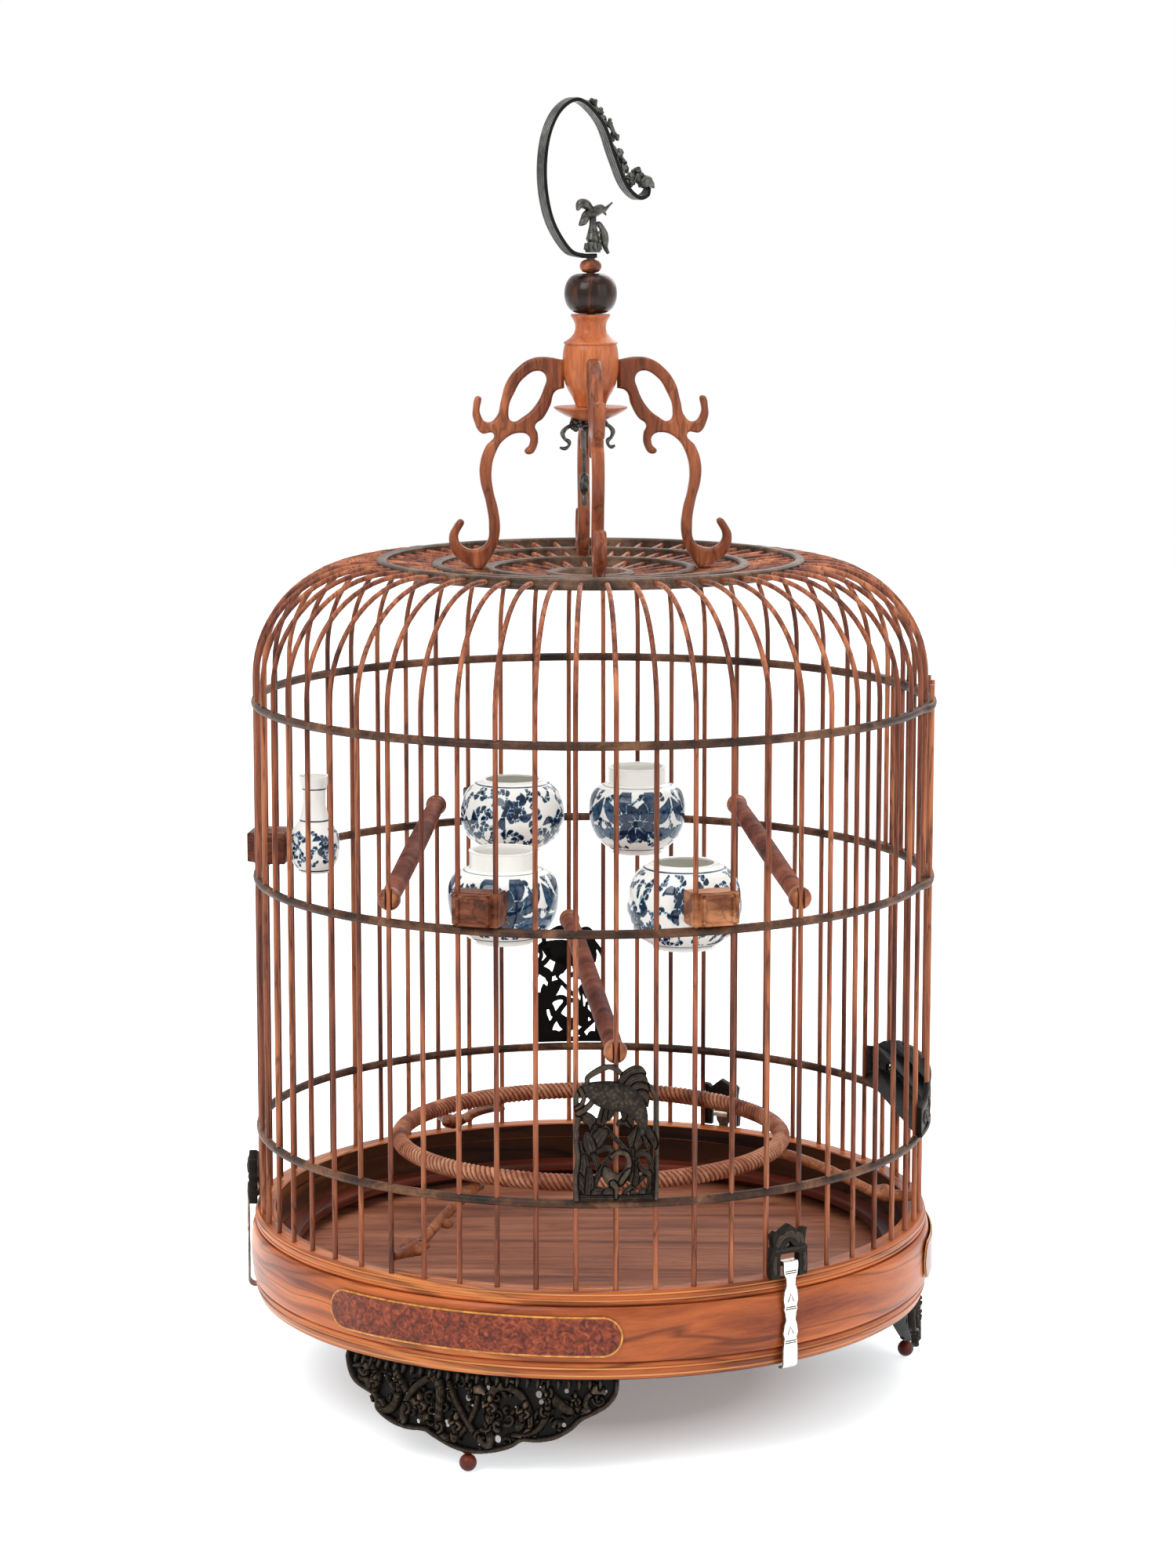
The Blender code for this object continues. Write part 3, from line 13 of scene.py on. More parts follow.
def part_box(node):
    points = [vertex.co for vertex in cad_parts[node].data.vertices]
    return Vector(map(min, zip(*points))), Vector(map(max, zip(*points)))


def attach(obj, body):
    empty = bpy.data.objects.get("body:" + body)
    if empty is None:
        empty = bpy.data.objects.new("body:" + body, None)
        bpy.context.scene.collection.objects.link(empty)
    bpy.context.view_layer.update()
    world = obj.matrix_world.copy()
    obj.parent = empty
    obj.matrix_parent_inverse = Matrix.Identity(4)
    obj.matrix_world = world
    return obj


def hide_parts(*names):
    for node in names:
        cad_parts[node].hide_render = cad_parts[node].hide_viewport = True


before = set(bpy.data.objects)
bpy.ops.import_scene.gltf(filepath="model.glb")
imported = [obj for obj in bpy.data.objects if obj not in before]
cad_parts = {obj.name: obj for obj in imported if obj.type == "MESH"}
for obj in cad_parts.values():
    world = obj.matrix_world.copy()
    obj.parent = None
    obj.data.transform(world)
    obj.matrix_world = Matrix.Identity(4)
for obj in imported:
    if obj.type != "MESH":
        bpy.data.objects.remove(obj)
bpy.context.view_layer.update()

BAR_COUNT = 56
BAR_STEP = 360.0 / BAR_COUNT
FIRST_BAR = 4.03
BAR_RADIUS = 0.00122
SEAM = radians(180.8)
BAR_CIRCLE = 0.1628
DOOR_BARS = range(12, 18)
DOOR_BAR_CIRCLE = 0.1661
HOOP_RADIUS = 0.0021
HOOP_HEIGHTS = {"lower_hoop": 0.13, "middle_hoop": 0.2547, "upper_hoop": 0.3403}
SHOULDER_RADIUS = 0.0545
ROOF_FALL = radians(4.66)
ROOF_HEIGHT_AT_AXIS = 0.3981
RING_WIDTH = 0.0047
RING_HEIGHT = 0.0054
RING_RADII = {"roof_ring_a": 0.1035, "roof_ring_b": 0.0769, "roof_ring_c": 0.0513, "roof_ring_d": 0.0213}
BAR_GAP = 0.0012
FOOT_DEGREES = -20.5
FOOT_RADIUS = 0.1617
STRAP_RADIUS = 0.1697
STRAP_GAUGE = 0.168
STRAP_WIDEN = 1.14
STRAP_HALF_THICK = 0.00035
HOOK_LOW = 0.5525
HOOK_TURN = 28.0
UP = Vector((0.0, 0.0, 1.0))


def polar(radius, azimuth, height):
    angle = radians(azimuth)
    return Vector((radius * sin(angle), -radius * cos(angle), height))


def bar_degrees(number):
    return FIRST_BAR + number * BAR_STEP


class Nodes:
    """The few node calls that a material's pattern or the world needs."""

    def __init__(self, owner):
        owner.use_nodes = True
        self.nodes = owner.node_tree.nodes
        self.links = owner.node_tree.links

    def feed(self, socket, value):
        if isinstance(value, bpy.types.NodeSocket):
            self.links.new(value, socket)
        else:
            socket.default_value = (*value, 1.0) if socket.type == "RGBA" and len(value) == 3 else value

    def make(self, kind, output=0, settings=None, **inputs):
        node = self.nodes.new(kind)
        for key, value in (settings or {}).items():
            setattr(node, key, value)
        for key, value in inputs.items():
            self.feed(node.inputs[key.replace("_", " ")], value)
        return node.outputs[output]

    def join(self, kind, *values, operation=None):
        """A node whose first inputs are fed in their order."""
        node = self.nodes.new(kind)
        if operation:
            node.operation = operation
        for socket, value in zip(node.inputs, values):
            self.feed(socket, value)
        return node.outputs[0]

    def math(self, operation, *values):
        return self.join("ShaderNodeMath", *values, operation=operation)

    def remap(self, value, start, end, low, high):
        return self.make("ShaderNodeMapRange", Value=value, From_Min=start, From_Max=end, To_Min=low, To_Max=high)

    def seen(self):
        """1 for what the camera sees, also in metal and through glass."""
        rays = [self.make("ShaderNodeLightPath", ray) for ray in ("Is Camera Ray", "Is Glossy Ray",
                                                                  "Is Transmission Ray")]
        return self.math("MAXIMUM", self.math("MAXIMUM", rays[0], rays[1]), rays[2])


class Finish(Nodes):
    """A Principled material."""

    def __init__(self, name, roughness=0.5, metallic=0.0, coat=0.0, specular=0.5):
        self.material = bpy.data.materials.new(name)
        super().__init__(self.material)
        self.shader = self.nodes["Principled BSDF"]
        for socket, value in (("Roughness", roughness), ("Metallic", metallic), ("Coat Weight", coat),
                              ("Coat Roughness", 0.12), ("Specular IOR Level", specular)):
            self.shader.inputs[socket].default_value = value

    def place(self, kind="Object", scale=(1.0, 1.0, 1.0)):
        source = self.make("ShaderNodeTexCoord", kind) if kind != "UV" else self.make("ShaderNodeUVMap")
        return self.make("ShaderNodeMapping", Vector=source, Scale=scale)

    def noise(self, vector, scale, detail=4.0, roughness=0.6, distortion=0.0):
        return self.make("ShaderNodeTexNoise", Vector=vector, Scale=scale, Detail=detail, Roughness=roughness,
                         Distortion=distortion)

    def cells(self, vector, scale):
        return self.make("ShaderNodeTexVoronoi", Vector=vector, Scale=scale)

    def attribute(self, name):
        return self.make("ShaderNodeAttribute", "Fac", {"attribute_name": name})

    def blend(self, first, share, second, part):
        return self.math("ADD", self.math("MULTIPLY", first, share), self.math("MULTIPLY", second, part))

    def ramp(self, factor, *stops):
        node = self.nodes.new("ShaderNodeValToRGB")
        while len(node.color_ramp.elements) < len(stops):
            node.color_ramp.elements.new(0.5)
        for element, (place, colour) in zip(node.color_ramp.elements, stops):
            element.position = place
            element.color = (*colour, 1.0)
        self.links.new(factor, node.inputs[0])
        return node.outputs[0]

    def mix(self, factor, first, second):
        node = self.nodes.new("ShaderNodeMix")
        node.data_type = "RGBA"
        for index, value in ((0, factor), (6, first), (7, second)):
            self.feed(node.inputs[index], value)
        return node.outputs[2]

    def colour(self, value):
        self.feed(self.shader.inputs["Base Color"], value)

    def rough(self, factor, low, high):
        self.feed(self.shader.inputs["Roughness"], self.remap(factor, 0.0, 1.0, low, high))

    def bump(self, height, distance, strength):
        normal = self.make("ShaderNodeBump", Height=height, Distance=distance, Strength=strength)
        self.feed(self.shader.inputs["Normal"], normal)


def linear(red, green, blue):
    """An 8-bit screen colour as linear light."""
    return tuple(((c / 255 + 0.055) / 1.055) ** 2.4 for c in (red, green, blue))


def wood(name, tones, stretch, scale, roughness, coat, veins, uv=False, grooves=0.0, figure=0.0):
    """Oiled hardwood: long grain along one direction, thin dark veins, fine pores, and painted shade in its cut
    grooves.
    """
    dark, middle, light = (linear(*tone) for tone in tones)
    finish = Finish(name, roughness, 0.0, coat, 0.2)
    place = finish.place("UV" if uv else "Object", stretch)
    if figure:
        bend = finish.noise(finish.place("UV", (0.3, 1.0, 1.0)), 20.0, 2.0, 0.5)
        shift = finish.make("ShaderNodeCombineXYZ",
                            Y=finish.math("MULTIPLY", finish.math("SUBTRACT", bend, 0.5), figure))
        place = finish.join("ShaderNodeVectorMath", place, shift, operation="ADD")
    broad = finish.noise(place, scale * 0.35, 3.0, 0.55, 1.2)
    fine = finish.noise(place, scale * 2.4, 6.0, 0.75)
    shade = finish.ramp(finish.blend(broad, 0.72, fine, 0.28), (0.36, dark), (0.49, middle), (0.64, light))
    vein = finish.math("ABSOLUTE", finish.math("SUBTRACT", finish.noise(place, scale * 0.9, 3.0, 0.6, 0.6), 0.5))
    deep = tuple(c * 0.35 for c in dark)
    shade = finish.mix(finish.remap(vein, 0.004, 0.04, veins, 0.0), shade, deep)
    if grooves:
        # Painted shade: where the carve attribute is low, in the cut grooves, the colour darkens to the deep tone.
        shade = finish.mix(finish.remap(finish.attribute("carve"), 0.1, 0.85, grooves, 0.0), shade, deep)
    finish.colour(shade)
    finish.rough(fine, roughness - 0.08, roughness + 0.16)
    finish.bump(fine, 0.00012, 0.5)
    return finish.material
# For each wood: its dark, middle and light tone, the stretch of its grain, scale, roughness, coat and veins; then,
# where they are used, whether the grain follows the UV map, how dark the painted shade in cut grooves is and how far
# the figure bends.
EVEN = (1, 1, 1)
ROUND_GRAIN = (0.1, 1, 1)
ACROSS_GRAIN = (0.3, 1, 1)
WOODS = {
    "bar": (((70, 30, 18), (140, 76, 50), (196, 122, 82)), (1, 1, 0.09), 170, 0.38, 0.06, 0.6),
    "hoop": (((30, 19, 13), (76, 48, 33), (130, 90, 64)), EVEN, 90, 0.42, 0, 0.4),
    "ring": (((44, 32, 24), (84, 62, 48), (128, 98, 78)), EVEN, 110, 0.42, 0.05, 0.4),
    "drum": (((104, 36, 14), (198, 106, 54), (246, 166, 100)), ROUND_GRAIN, 46, 0.34, 0.1, 0.6, True, 0, 0.034),
    "edge": (((160, 90, 40), (220, 152, 84), (250, 202, 130)), ROUND_GRAIN, 34, 0.32, 0.1, 0.3, True),
    # The inner wall is the drum's wood darkened: painted shade on the inside faces of the cage ring and drum.
    "inner_wall": (((22, 9, 4), (66, 34, 16), (168, 106, 54)), ROUND_GRAIN, 34, 0.4, 0.1, 0.8, True, 0, 0.05),
    "inner_wall_lower": (((44, 12, 6), (98, 38, 24), (138, 62, 40)), ROUND_GRAIN, 34, 0.4, 0.1, 0.7, True),
    "hub": (((58, 22, 9), (140, 74, 44), (196, 118, 78)), (1, 0.14, 1), 100, 0.34, 0.15, 0.5),
    "urn": (((112, 48, 22), (178, 92, 50), (214, 130, 82)), (1, 1, 0.16), 120, 0.34, 0.15, 0.2),
    "bead": (((10, 4, 2), (38, 17, 10), (150, 90, 60)), (1, 1, 0.12), 70, 0.2, 0.1, 0.3),
    "ledge": (((50, 16, 8), (98, 38, 22), (130, 58, 34)), ROUND_GRAIN, 50, 0.38, 0.1, 0.6, True),
    "floor": (((100, 52, 34), (150, 90, 64), (180, 118, 88)), (0.12, 1, 1), 110, 0.55, 0, 0.3),
    "perch": (((60, 22, 12), (112, 52, 35), (158, 88, 64)), EVEN, 80, 0.5, 0, 0.3, False, 1),
    "rope": (((104, 48, 30), (178, 106, 74), (222, 158, 120)), EVEN, 120, 0.46, 0.05, 0.2, False, 1),
    "perch_end": (((78, 34, 16), (144, 82, 50), (190, 124, 82)), EVEN, 90, 0.4, 0.1, 0.4),
    "holder": (((40, 14, 6), (110, 56, 34), (160, 104, 72)), ACROSS_GRAIN, 110, 0.45, 0.05, 0.6),
    "pale_holder": (((116, 64, 34), (186, 124, 84), (216, 160, 118)), ACROSS_GRAIN, 110, 0.45, 0.05, 0.5),
}


def make_materials():
    look = {key: wood(key + "_wood", *values) for key, values in WOODS.items()}
    look["carved"] = carved_wood()
    look["carved_scaly"] = carved_wood("scaly_carved_wood", scales=560.0)
    # A fixed height in place of the carve attribute: the blocks' ground in middling painted shade, their raised
    # carving lighter with painted highlight and rubbed wear.
    look["carved_plain"] = carved_wood("plain_carved_wood", plain=0.4)
    look["carved_raised"] = carved_wood("raised_carved_wood", plain=0.8)
    look["burl"] = burl()
    look["porcelain"] = porcelain()
    look["gilt"] = metal("gilt_line", (206, 146, 70), (150, 94, 38), 0.34, 0.5)
    look["gunmetal"] = metal("gunmetal", (92, 91, 86), (34, 33, 30), 0.34, 0.8)
    look["ribbed"] = metal("ribbed_gunmetal", (98, 98, 95), (66, 66, 63), 0.3, 0.8, 1.0)
    look["silver"] = metal("silver", (248, 245, 238), (206, 198, 184), 0.24, 0.9)
    look["tarnish"] = metal("tarnished_silver", (132, 116, 100), (64, 54, 46), 0.4, 0.6)
    groove = Finish("dark_joint", 0.8)
    groove.colour((0.012, 0.006, 0.004))
    look["groove"] = groove.material
    return look


def carved_wood(name="carved_wood", scales=0.0, plain=0.0):
    """Near-black carved wood: painted shade makes it black in its depths, and its high places are paler and browner,
    partly rubbed wear and partly painted highlight.
    """
    finish = Finish(name, 0.46, specular=0.12)
    place = finish.place()
    worn = finish.noise(place, 380.0, 5.0, 0.7)
    # The tone follows the carving's height: painted shade darkens the low places, painted highlight and rubbed wear
    # lighten the high ones.
    tone = finish.blend(plain or finish.attribute("carve"), 0.55, worn, 0.55)
    height = worn
    if scales:
        cells = finish.cells(place, scales)
        # Painted shade darkens each scale towards its edge.
        tone = finish.math("SUBTRACT", tone, finish.math("MULTIPLY", cells, 0.34))
        height = finish.math("SUBTRACT", 1.0, cells)
    rubbed_and_highlit = linear(100, 90, 78) if scales else linear(138, 102, 72)
    finish.colour(finish.ramp(tone, (0.4, linear(10, 7, 5)), (0.62, linear(43, 36, 30)),
                              (0.8, linear(78, 67, 56)), (0.94, rubbed_and_highlit)))
    finish.rough(worn, 0.34, 0.62)
    finish.bump(height, 0.0004, 0.6)
    return finish.material


def burl():
    """Burl veneer: crowded dark eyes in red-brown."""
    finish = Finish("burl", 0.28, 0.0, 0.12, 0.2)
    place = finish.place()
    clouds = finish.blend(finish.noise(place, 170.0, 6.0, 0.72, 2.4), 0.92, finish.cells(place, 480.0), 0.16)
    finish.colour(finish.ramp(clouds, (0.36, linear(40, 12, 6)), (0.49, linear(98, 34, 15)),
                              (0.6, linear(142, 60, 30)), (0.74, linear(176, 92, 52))))
    finish.bump(clouds, 0.0001, 0.4)
    return finish.material


def metal(name, light, dark, roughness, metallic, grooves=0.0):
    """Cast metal, cloudy with tarnish, or darkened by painted shade in its cut grooves."""
    finish = Finish(name, roughness, metallic)
    tarnish = finish.noise(finish.place(), 230.0, 5.0, 0.65)
    shade = finish.ramp(tarnish, (0.35, linear(*dark)), (0.6, linear(*light)))
    if grooves:
        # Painted shade: where the carve attribute is low, in the grooves between the ribs, the colour goes near-black.
        shade = finish.mix(finish.remap(finish.attribute("carve"), 0.2, 0.8, grooves, 0.0), shade,
                           linear(12, 12, 11))
    else:
        finish.rough(tarnish, roughness + 0.12, roughness - 0.06)
        finish.bump(tarnish, 0.0002, 0.35)
    finish.colour(shade)
    return finish.material


def settle(thing, body, nodes, smooth=35.0):
    """Shade a new piece, let it ride on its body and stand for the nodes it replaces."""
    bpy.context.scene.collection.objects.link(thing)
    if thing.type == "MESH":
        thing.data.shade_smooth()
        thing.data.set_sharp_from_angle(angle=radians(smooth))
    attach(thing, body)
    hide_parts(*nodes)


def span(node):
    """The heights of a node's lowest and highest points."""
    return tuple(corner.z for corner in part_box(node))


def lifted(low, *points):
    """(Radius, height) points from millimetres, the heights counted from low."""
    return [(radius / 1000, low + height / 1000) for radius, height in points]


def measured(path):
    """How far along the path each of its points lies."""
    return np.concatenate(([0.0], np.cumsum([dist(a, b) for a, b in zip(path, path[1:])])))


def skin(shape, loops, ring=False):
    """Join each loop of vertices to the next; a ring's last meets its first, else both ends are closed."""
    faces = []
    for lower, upper in zip(loops, loops[1:] + (loops[:1] if ring else [])):
        for i in range(len(lower)):
            j = (i + 1) % len(lower)
            faces.append(shape.faces.new((lower[i], lower[j], upper[j], upper[i])))
    if not ring:
        shape.faces.new(loops[0])
        shape.faces.new(loops[-1])
    return faces


def from_bmesh(name, shape, *materials):
    mesh = bpy.data.meshes.new(name)
    bmesh.ops.recalc_face_normals(shape, faces=shape.faces)
    shape.to_mesh(mesh)
    shape.free()
    for material in materials:
        mesh.materials.append(material)
    return bpy.data.objects.new(name, mesh)


def turned(name, profile, *materials, segments=168, closed=True, bands=None, centre=(0.0, 0.0)):
    """Turn (radius, height) points about Z; bands gives some stretches another material."""
    shape = bmesh.new()
    layer = shape.loops.layers.uv.new("UVMap")
    turns = [SEAM + 2.0 * pi * i / segments for i in range(segments)]
    loops = [[shape.verts.new((centre[0] + radius * cos(t), centre[1] + radius * sin(t), height))
              for t in (turns if radius else turns[:1])] for radius, height in profile]
    lengths = measured(profile + profile[:1])
    reach = max(radius for radius, _ in profile)
    for row, (lower, upper) in enumerate(zip(loops, loops[1:] + (loops[:1] if closed else []))):
        for index in range(segments):
            corners = ((lower, index, row), (lower, index + 1, row), (upper, index + 1, row + 1),
                       (upper, index, row + 1))
            unique = {loop[step % segments % len(loop)]: (step, level) for loop, step, level in corners}
            if len(unique) < 3:
                continue
            face = shape.faces.new(list(unique))
            face.material_index = (bands or {}).get(row, 0)
            for loop in face.loops:
                step, level = unique[loop.vert]
                loop[layer].uv = (2.0 * pi * reach * step / segments, lengths[level])
    return from_bmesh(name, shape, *materials)


def new_curve(name, dimensions, bevel, resolution, material):
    curve = bpy.data.curves.new(name, "CURVE")
    curve.dimensions = dimensions
    curve.bevel_depth = bevel
    curve.bevel_resolution = resolution
    curve.materials.append(material)
    return curve


def rods(name, routes, radius, material, sides=3):
    """Round rods along routes of (x, y, z) or (point, thickness share) entries."""
    curve = new_curve(name, "3D", radius, sides, material)
    curve.use_fill_caps = True
    curve.twist_mode = "MINIMUM"
    for route in routes:
        spline = curve.splines.new("POLY")
        spline.points.add(len(route) - 1)
        spline.use_smooth = True
        for point, entry in zip(spline.points, route):
            place, share = entry if len(entry) == 2 else (entry, 1.0)
            point.co = (*place, 1.0)
            point.radius = share
    return bpy.data.objects.new(name, curve)


def smooth_route(points, steps=6):
    """Catmull-Rom points through given ones; each may carry numbers past its place."""
    padded = [points[0], *points, points[-1]]
    route = []
    for a, b, c, d in zip(padded, padded[1:], padded[2:], padded[3:]):
        for step in range(steps):
            t = step / steps
            route.append(tuple(0.5 * (2 * q + (r - p) * t + (2 * p - 5 * q + 4 * r - s) * t * t
                                      + (3 * q - p - 3 * r + s) * t ** 3) for p, q, r, s in zip(a, b, c, d)))
    return route + [tuple(points[-1])]


def roof_height(radius):
    return ROOF_HEIGHT_AT_AXIS + radius * tan(ROOF_FALL)


def bar_route(number, start):
    """Up, over the shoulder and in over the roof to a ring."""
    azimuth = bar_degrees(number)
    end = RING_RADII["roof_ring_d" if number % 2 == 0 else "roof_ring_c"] - RING_WIDTH / 2
    full_turn = pi / 2 + ROOF_FALL
    centre = BAR_CIRCLE - SHOULDER_RADIUS
    height = roof_height(centre + SHOULDER_RADIUS * cos(full_turn)) - SHOULDER_RADIUS * sin(full_turn)
    turns = [full_turn * step / 16 for step in range(17)]
    bend = [polar(centre + SHOULDER_RADIUS * cos(t), azimuth, height + SHOULDER_RADIUS * sin(t))
            for t in turns]
    return [polar(BAR_CIRCLE, azimuth, start), *bend, polar(end, azimuth, roof_height(end))]


def build_grille(look):
    """Round bars, round hoops and roof rings in place of the faceted ones."""
    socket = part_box("cage_bars")[0].z + 0.003
    routes, upper_routes = [], []
    for number in range(BAR_COUNT):
        if number in DOOR_BARS:
            routes.append([polar(BAR_CIRCLE, bar_degrees(number), z) for z in (socket, HOOP_HEIGHTS["lower_hoop"])])
            upper_routes.append(bar_route(number, HOOP_HEIGHTS["middle_hoop"]))
        else:
            routes.append(bar_route(number, socket))
    settle(rods("grille_bars", routes, BAR_RADIUS, look["bar"], 4), "cage", ["cage_bars"])
    settle(rods("doorway_upper_bars", upper_routes, BAR_RADIUS, look["bar"], 4), "cage",
           ["middle_hoop"])
    for name, height in HOOP_HEIGHTS.items():
        settle(hoop(name + "_round", height, look["hoop"], name != "lower_hoop"), "cage", [name])
    for name, radius in RING_RADII.items():
        middle = roof_height(radius - RING_WIDTH / 2)
        low, high = middle - RING_HEIGHT / 2, middle + RING_HEIGHT / 2
        inner, soft = radius - RING_WIDTH, RING_WIDTH * 0.16
        profile = [(inner, low + soft), (inner + soft, low), (radius - soft, low), (radius, low + soft),
                   (radius, middle - soft), (radius - soft / 2, middle), (radius, middle + soft),
                   (radius, high - soft), (radius - soft, high), (inner + soft, high), (inner, high - soft)]
        settle(turned(name + "_moulded", profile, look["ring"]), "cage", [name])


def hoop(name, height, material, with_lug):
    """A round hoop, drawn out to a flat lug where the sliding door's bars pass."""
    steps, sides = 224, 14
    middle = bar_degrees(DOOR_BARS[0]) + 2.5 * BAR_STEP
    fade = 0.7 * BAR_STEP
    shape = bmesh.new()
    loops = []
    for step in range(steps):
        azimuth = 360.0 * step / steps
        off = abs((azimuth - middle + 180.0) % 360.0 - 180.0)
        share = min(max((3.0 * BAR_STEP + fade - off) / fade, 0.0), 1.0) if with_lug else 0.0
        widen = 0.0032 * share * share * (3 - 2 * share)
        loop = []
        for side in range(sides):
            turn = 2.0 * pi * side / sides
            radius = BAR_CIRCLE + HOOP_RADIUS * cos(turn) + (widen if cos(turn) > 0.01 else 0.0)
            loop.append(shape.verts.new(polar(radius, azimuth, height + HOOP_RADIUS * sin(turn))))
        loops.append(loop)
    skin(shape, loops, ring=True)
    return from_bmesh(name, shape, material)


def build_base(look):
    """Cage ring, drum and foot moulding with gilt lines; ledge and floor inside."""
    ring = ((156, 0), (164.8, 0), (165.7, 1), (165.7, 1.8), (165.1, 2.2), (165.1, 2.9), (166, 3.4), (166, 4.6),
            (165.2, 5), (165.2, 5.7), (165.6, 6.1), (164.8, 7.1), (160.4, 7.1), (160, 6.7), (159.6, 7.1),
            (156.6, 7.1), (156, 6.5))
    # Band 16, the ring's inner face, takes the inner wall wood with its painted shade.
    settle(turned("cage_ring", lifted(span("cage_bars")[0], *ring), look["drum"], look["edge"], look["inner_wall"],
                  bands={4: 1, 8: 1, 12: 1, 13: 1, 16: 2}), "cage", ["cage_bars"])
    low, high = span("base_drum")
    drum = lifted(low, (156, 0), (166, 0), (167, 1))
    for step in range(9):
        share = step / 8
        drum.append((0.1673 + 0.0007 * sin(pi * share), low + 0.002 + (high - low - 0.004) * share))
    drum += lifted(high, (167, -1), (166, 0), (156, 0)) + [(0.156, low + (high - low) * 0.52)]
    # The upper inner face takes the inner wall wood with its painted shade.
    settle(turned("drum_wall", drum, look["drum"], look["inner_wall"], look["inner_wall_lower"],
                  bands={len(drum) - 2: 1, len(drum) - 1: 2}), "cage", ["base_drum"])
    low, high = span("base_moulding")
    moulding = lifted(low, (152, 0), (163.8, 0), (164.7, 0.6), (165.1, 1.8), (165.2, 2.5), (165.8, 3.6),
                      (166.2, 4.8), (165.6, 5.3), (165.6, 6), (166.4, 6.8))
    moulding += lifted(high, (166.4, -0.5), (165.9, 0), (152, 0))
    settle(turned("foot_moulding", moulding, look["drum"], look["edge"], look["groove"],
                  bands={0: 2, 1: 2, 3: 1, 7: 1}), "cage", ["base_moulding"])
    low, high = span("floor_ledge")
    ledge = lifted(low, (144.8, 0), (155.7, 0)) + lifted(high, (155.7, 0), (146.2, 0), (145.2, -0.3), (144.8, -1.2))
    settle(turned("ledge_ring", ledge, look["ledge"]), "cage", ["floor_ledge"])
    low, high = span("floor_board")
    board = lifted(low, (0, 0), (155.6, 0)) + lifted(high, (155.6, 0), (0, 0))
    settle(turned("floor_panel", board, look["floor"], closed=False), "cage", ["floor_board"])
    for index in (1, 2, 3):
        build_burl_panel(look, index)


def build_burl_panel(look, index):
    """A veneer panel with round ends and a gilt line near its edge."""
    node = f"burl_panel_{index}"
    middle = FOOT_DEGREES + 120.0 * (index - 1)
    low, high = span(node)
    ground, radius, columns = 0.1686, 0.1695, 72
    half_span = radians(25.5) * radius
    for name, inset, lift, key in (("gilt_border", 0.0, 0.0006, "gilt"), ("veneer", 0.0009, 0.0009, "burl")):
        shape = bmesh.new()
        rows = []
        rounding = (high - low) / 2 - inset
        section = ((0.0, -1), (lift, -1), (lift, -0.5), (lift, 0), (lift, 0.5), (lift, 1), (0.0, 1))
        for column in range(columns + 1):
            u = (half_span - inset) * sin(pi / 2 * (2 * column / columns - 1))
            short = max(rounding - (half_span - inset - abs(u)), 0.0)
            rise = sqrt(max(rounding ** 2 - short ** 2, 1e-9))
            azimuth = middle + degrees(u / radius)
            rows.append([shape.verts.new(polar(ground + depth, azimuth, (high + low) / 2 + rise * side))
                         for depth, side in section])
        for first, second in zip(rows, rows[1:]):
            for a in range(len(first)):
                b = (a + 1) % len(first)
                shape.faces.new((first[a], second[a], second[b], first[b]))
        bmesh.ops.remove_doubles(shape, verts=shape.verts, dist=0.00001)
        settle(from_bmesh(f"{name}_{index}", shape, look[key]), "cage", [node])
URN = ((0.54, 0), (0.56, 0.03), (0.66, 0.1), (0.8, 0.17), (0.9, 0.24), (0.965, 0.32), (1, 0.41), (1, 0.5),
       (0.99, 0.56), (0.97, 0.61), (0.94, 0.655), (0.92, 0.667), (0.92, 0.672), (0.955, 0.678), (0.965, 0.688),
       (0.95, 0.698), (0.87, 0.712), (0.72, 0.745), (0.6, 0.79), (0.545, 0.84), (0.55, 0.89), (0.6, 0.93),
       (0.67, 0.965), (0.7, 0.98), (0.7, 1))
SAUCER = ((0.006, 0), (0.0085, 0.1), (0.0125, 0.38), (0.0165, 0.72), (0.01775, 0.9), (0.01775, 0.98), (0.0172, 1))


def build_hub(look):
    """Turned saucer, urn and beads."""
    bore, least = 0.0023, 0.3
    for name, node, radius, shares in (("saucer", "hub_saucer", 1, SAUCER), ("urn", "hub_urn", 0.0135, URN)):
        low, high = span(node)
        profile = [(radius * r, low + (high - low) * z) for r, z in shares]
        settle(turned(name, [(bore, low), *profile, (bore, high)], look["urn"], segments=72), "cage",
               [node])
    for name, node, key, swell in (("dark_bead", "large_bead", "bead", 0.72), ("top_bead", "small_bead", "hub", 0.8)):
        low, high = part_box(node)
        radius = (high.x - low.x) / 2
        profile = [(bore, low.z)]
        for step in range(25):
            turn = pi * step / 24
            profile.append((radius * (least + (1.0 - least) * sin(turn) ** swell),
                            (low.z + high.z) / 2 - (high.z - low.z) / 2 * cos(turn)))
        settle(turned(name, [*profile, (bore, high.z)], look[key], segments=72), "hook", [node], 60.0)
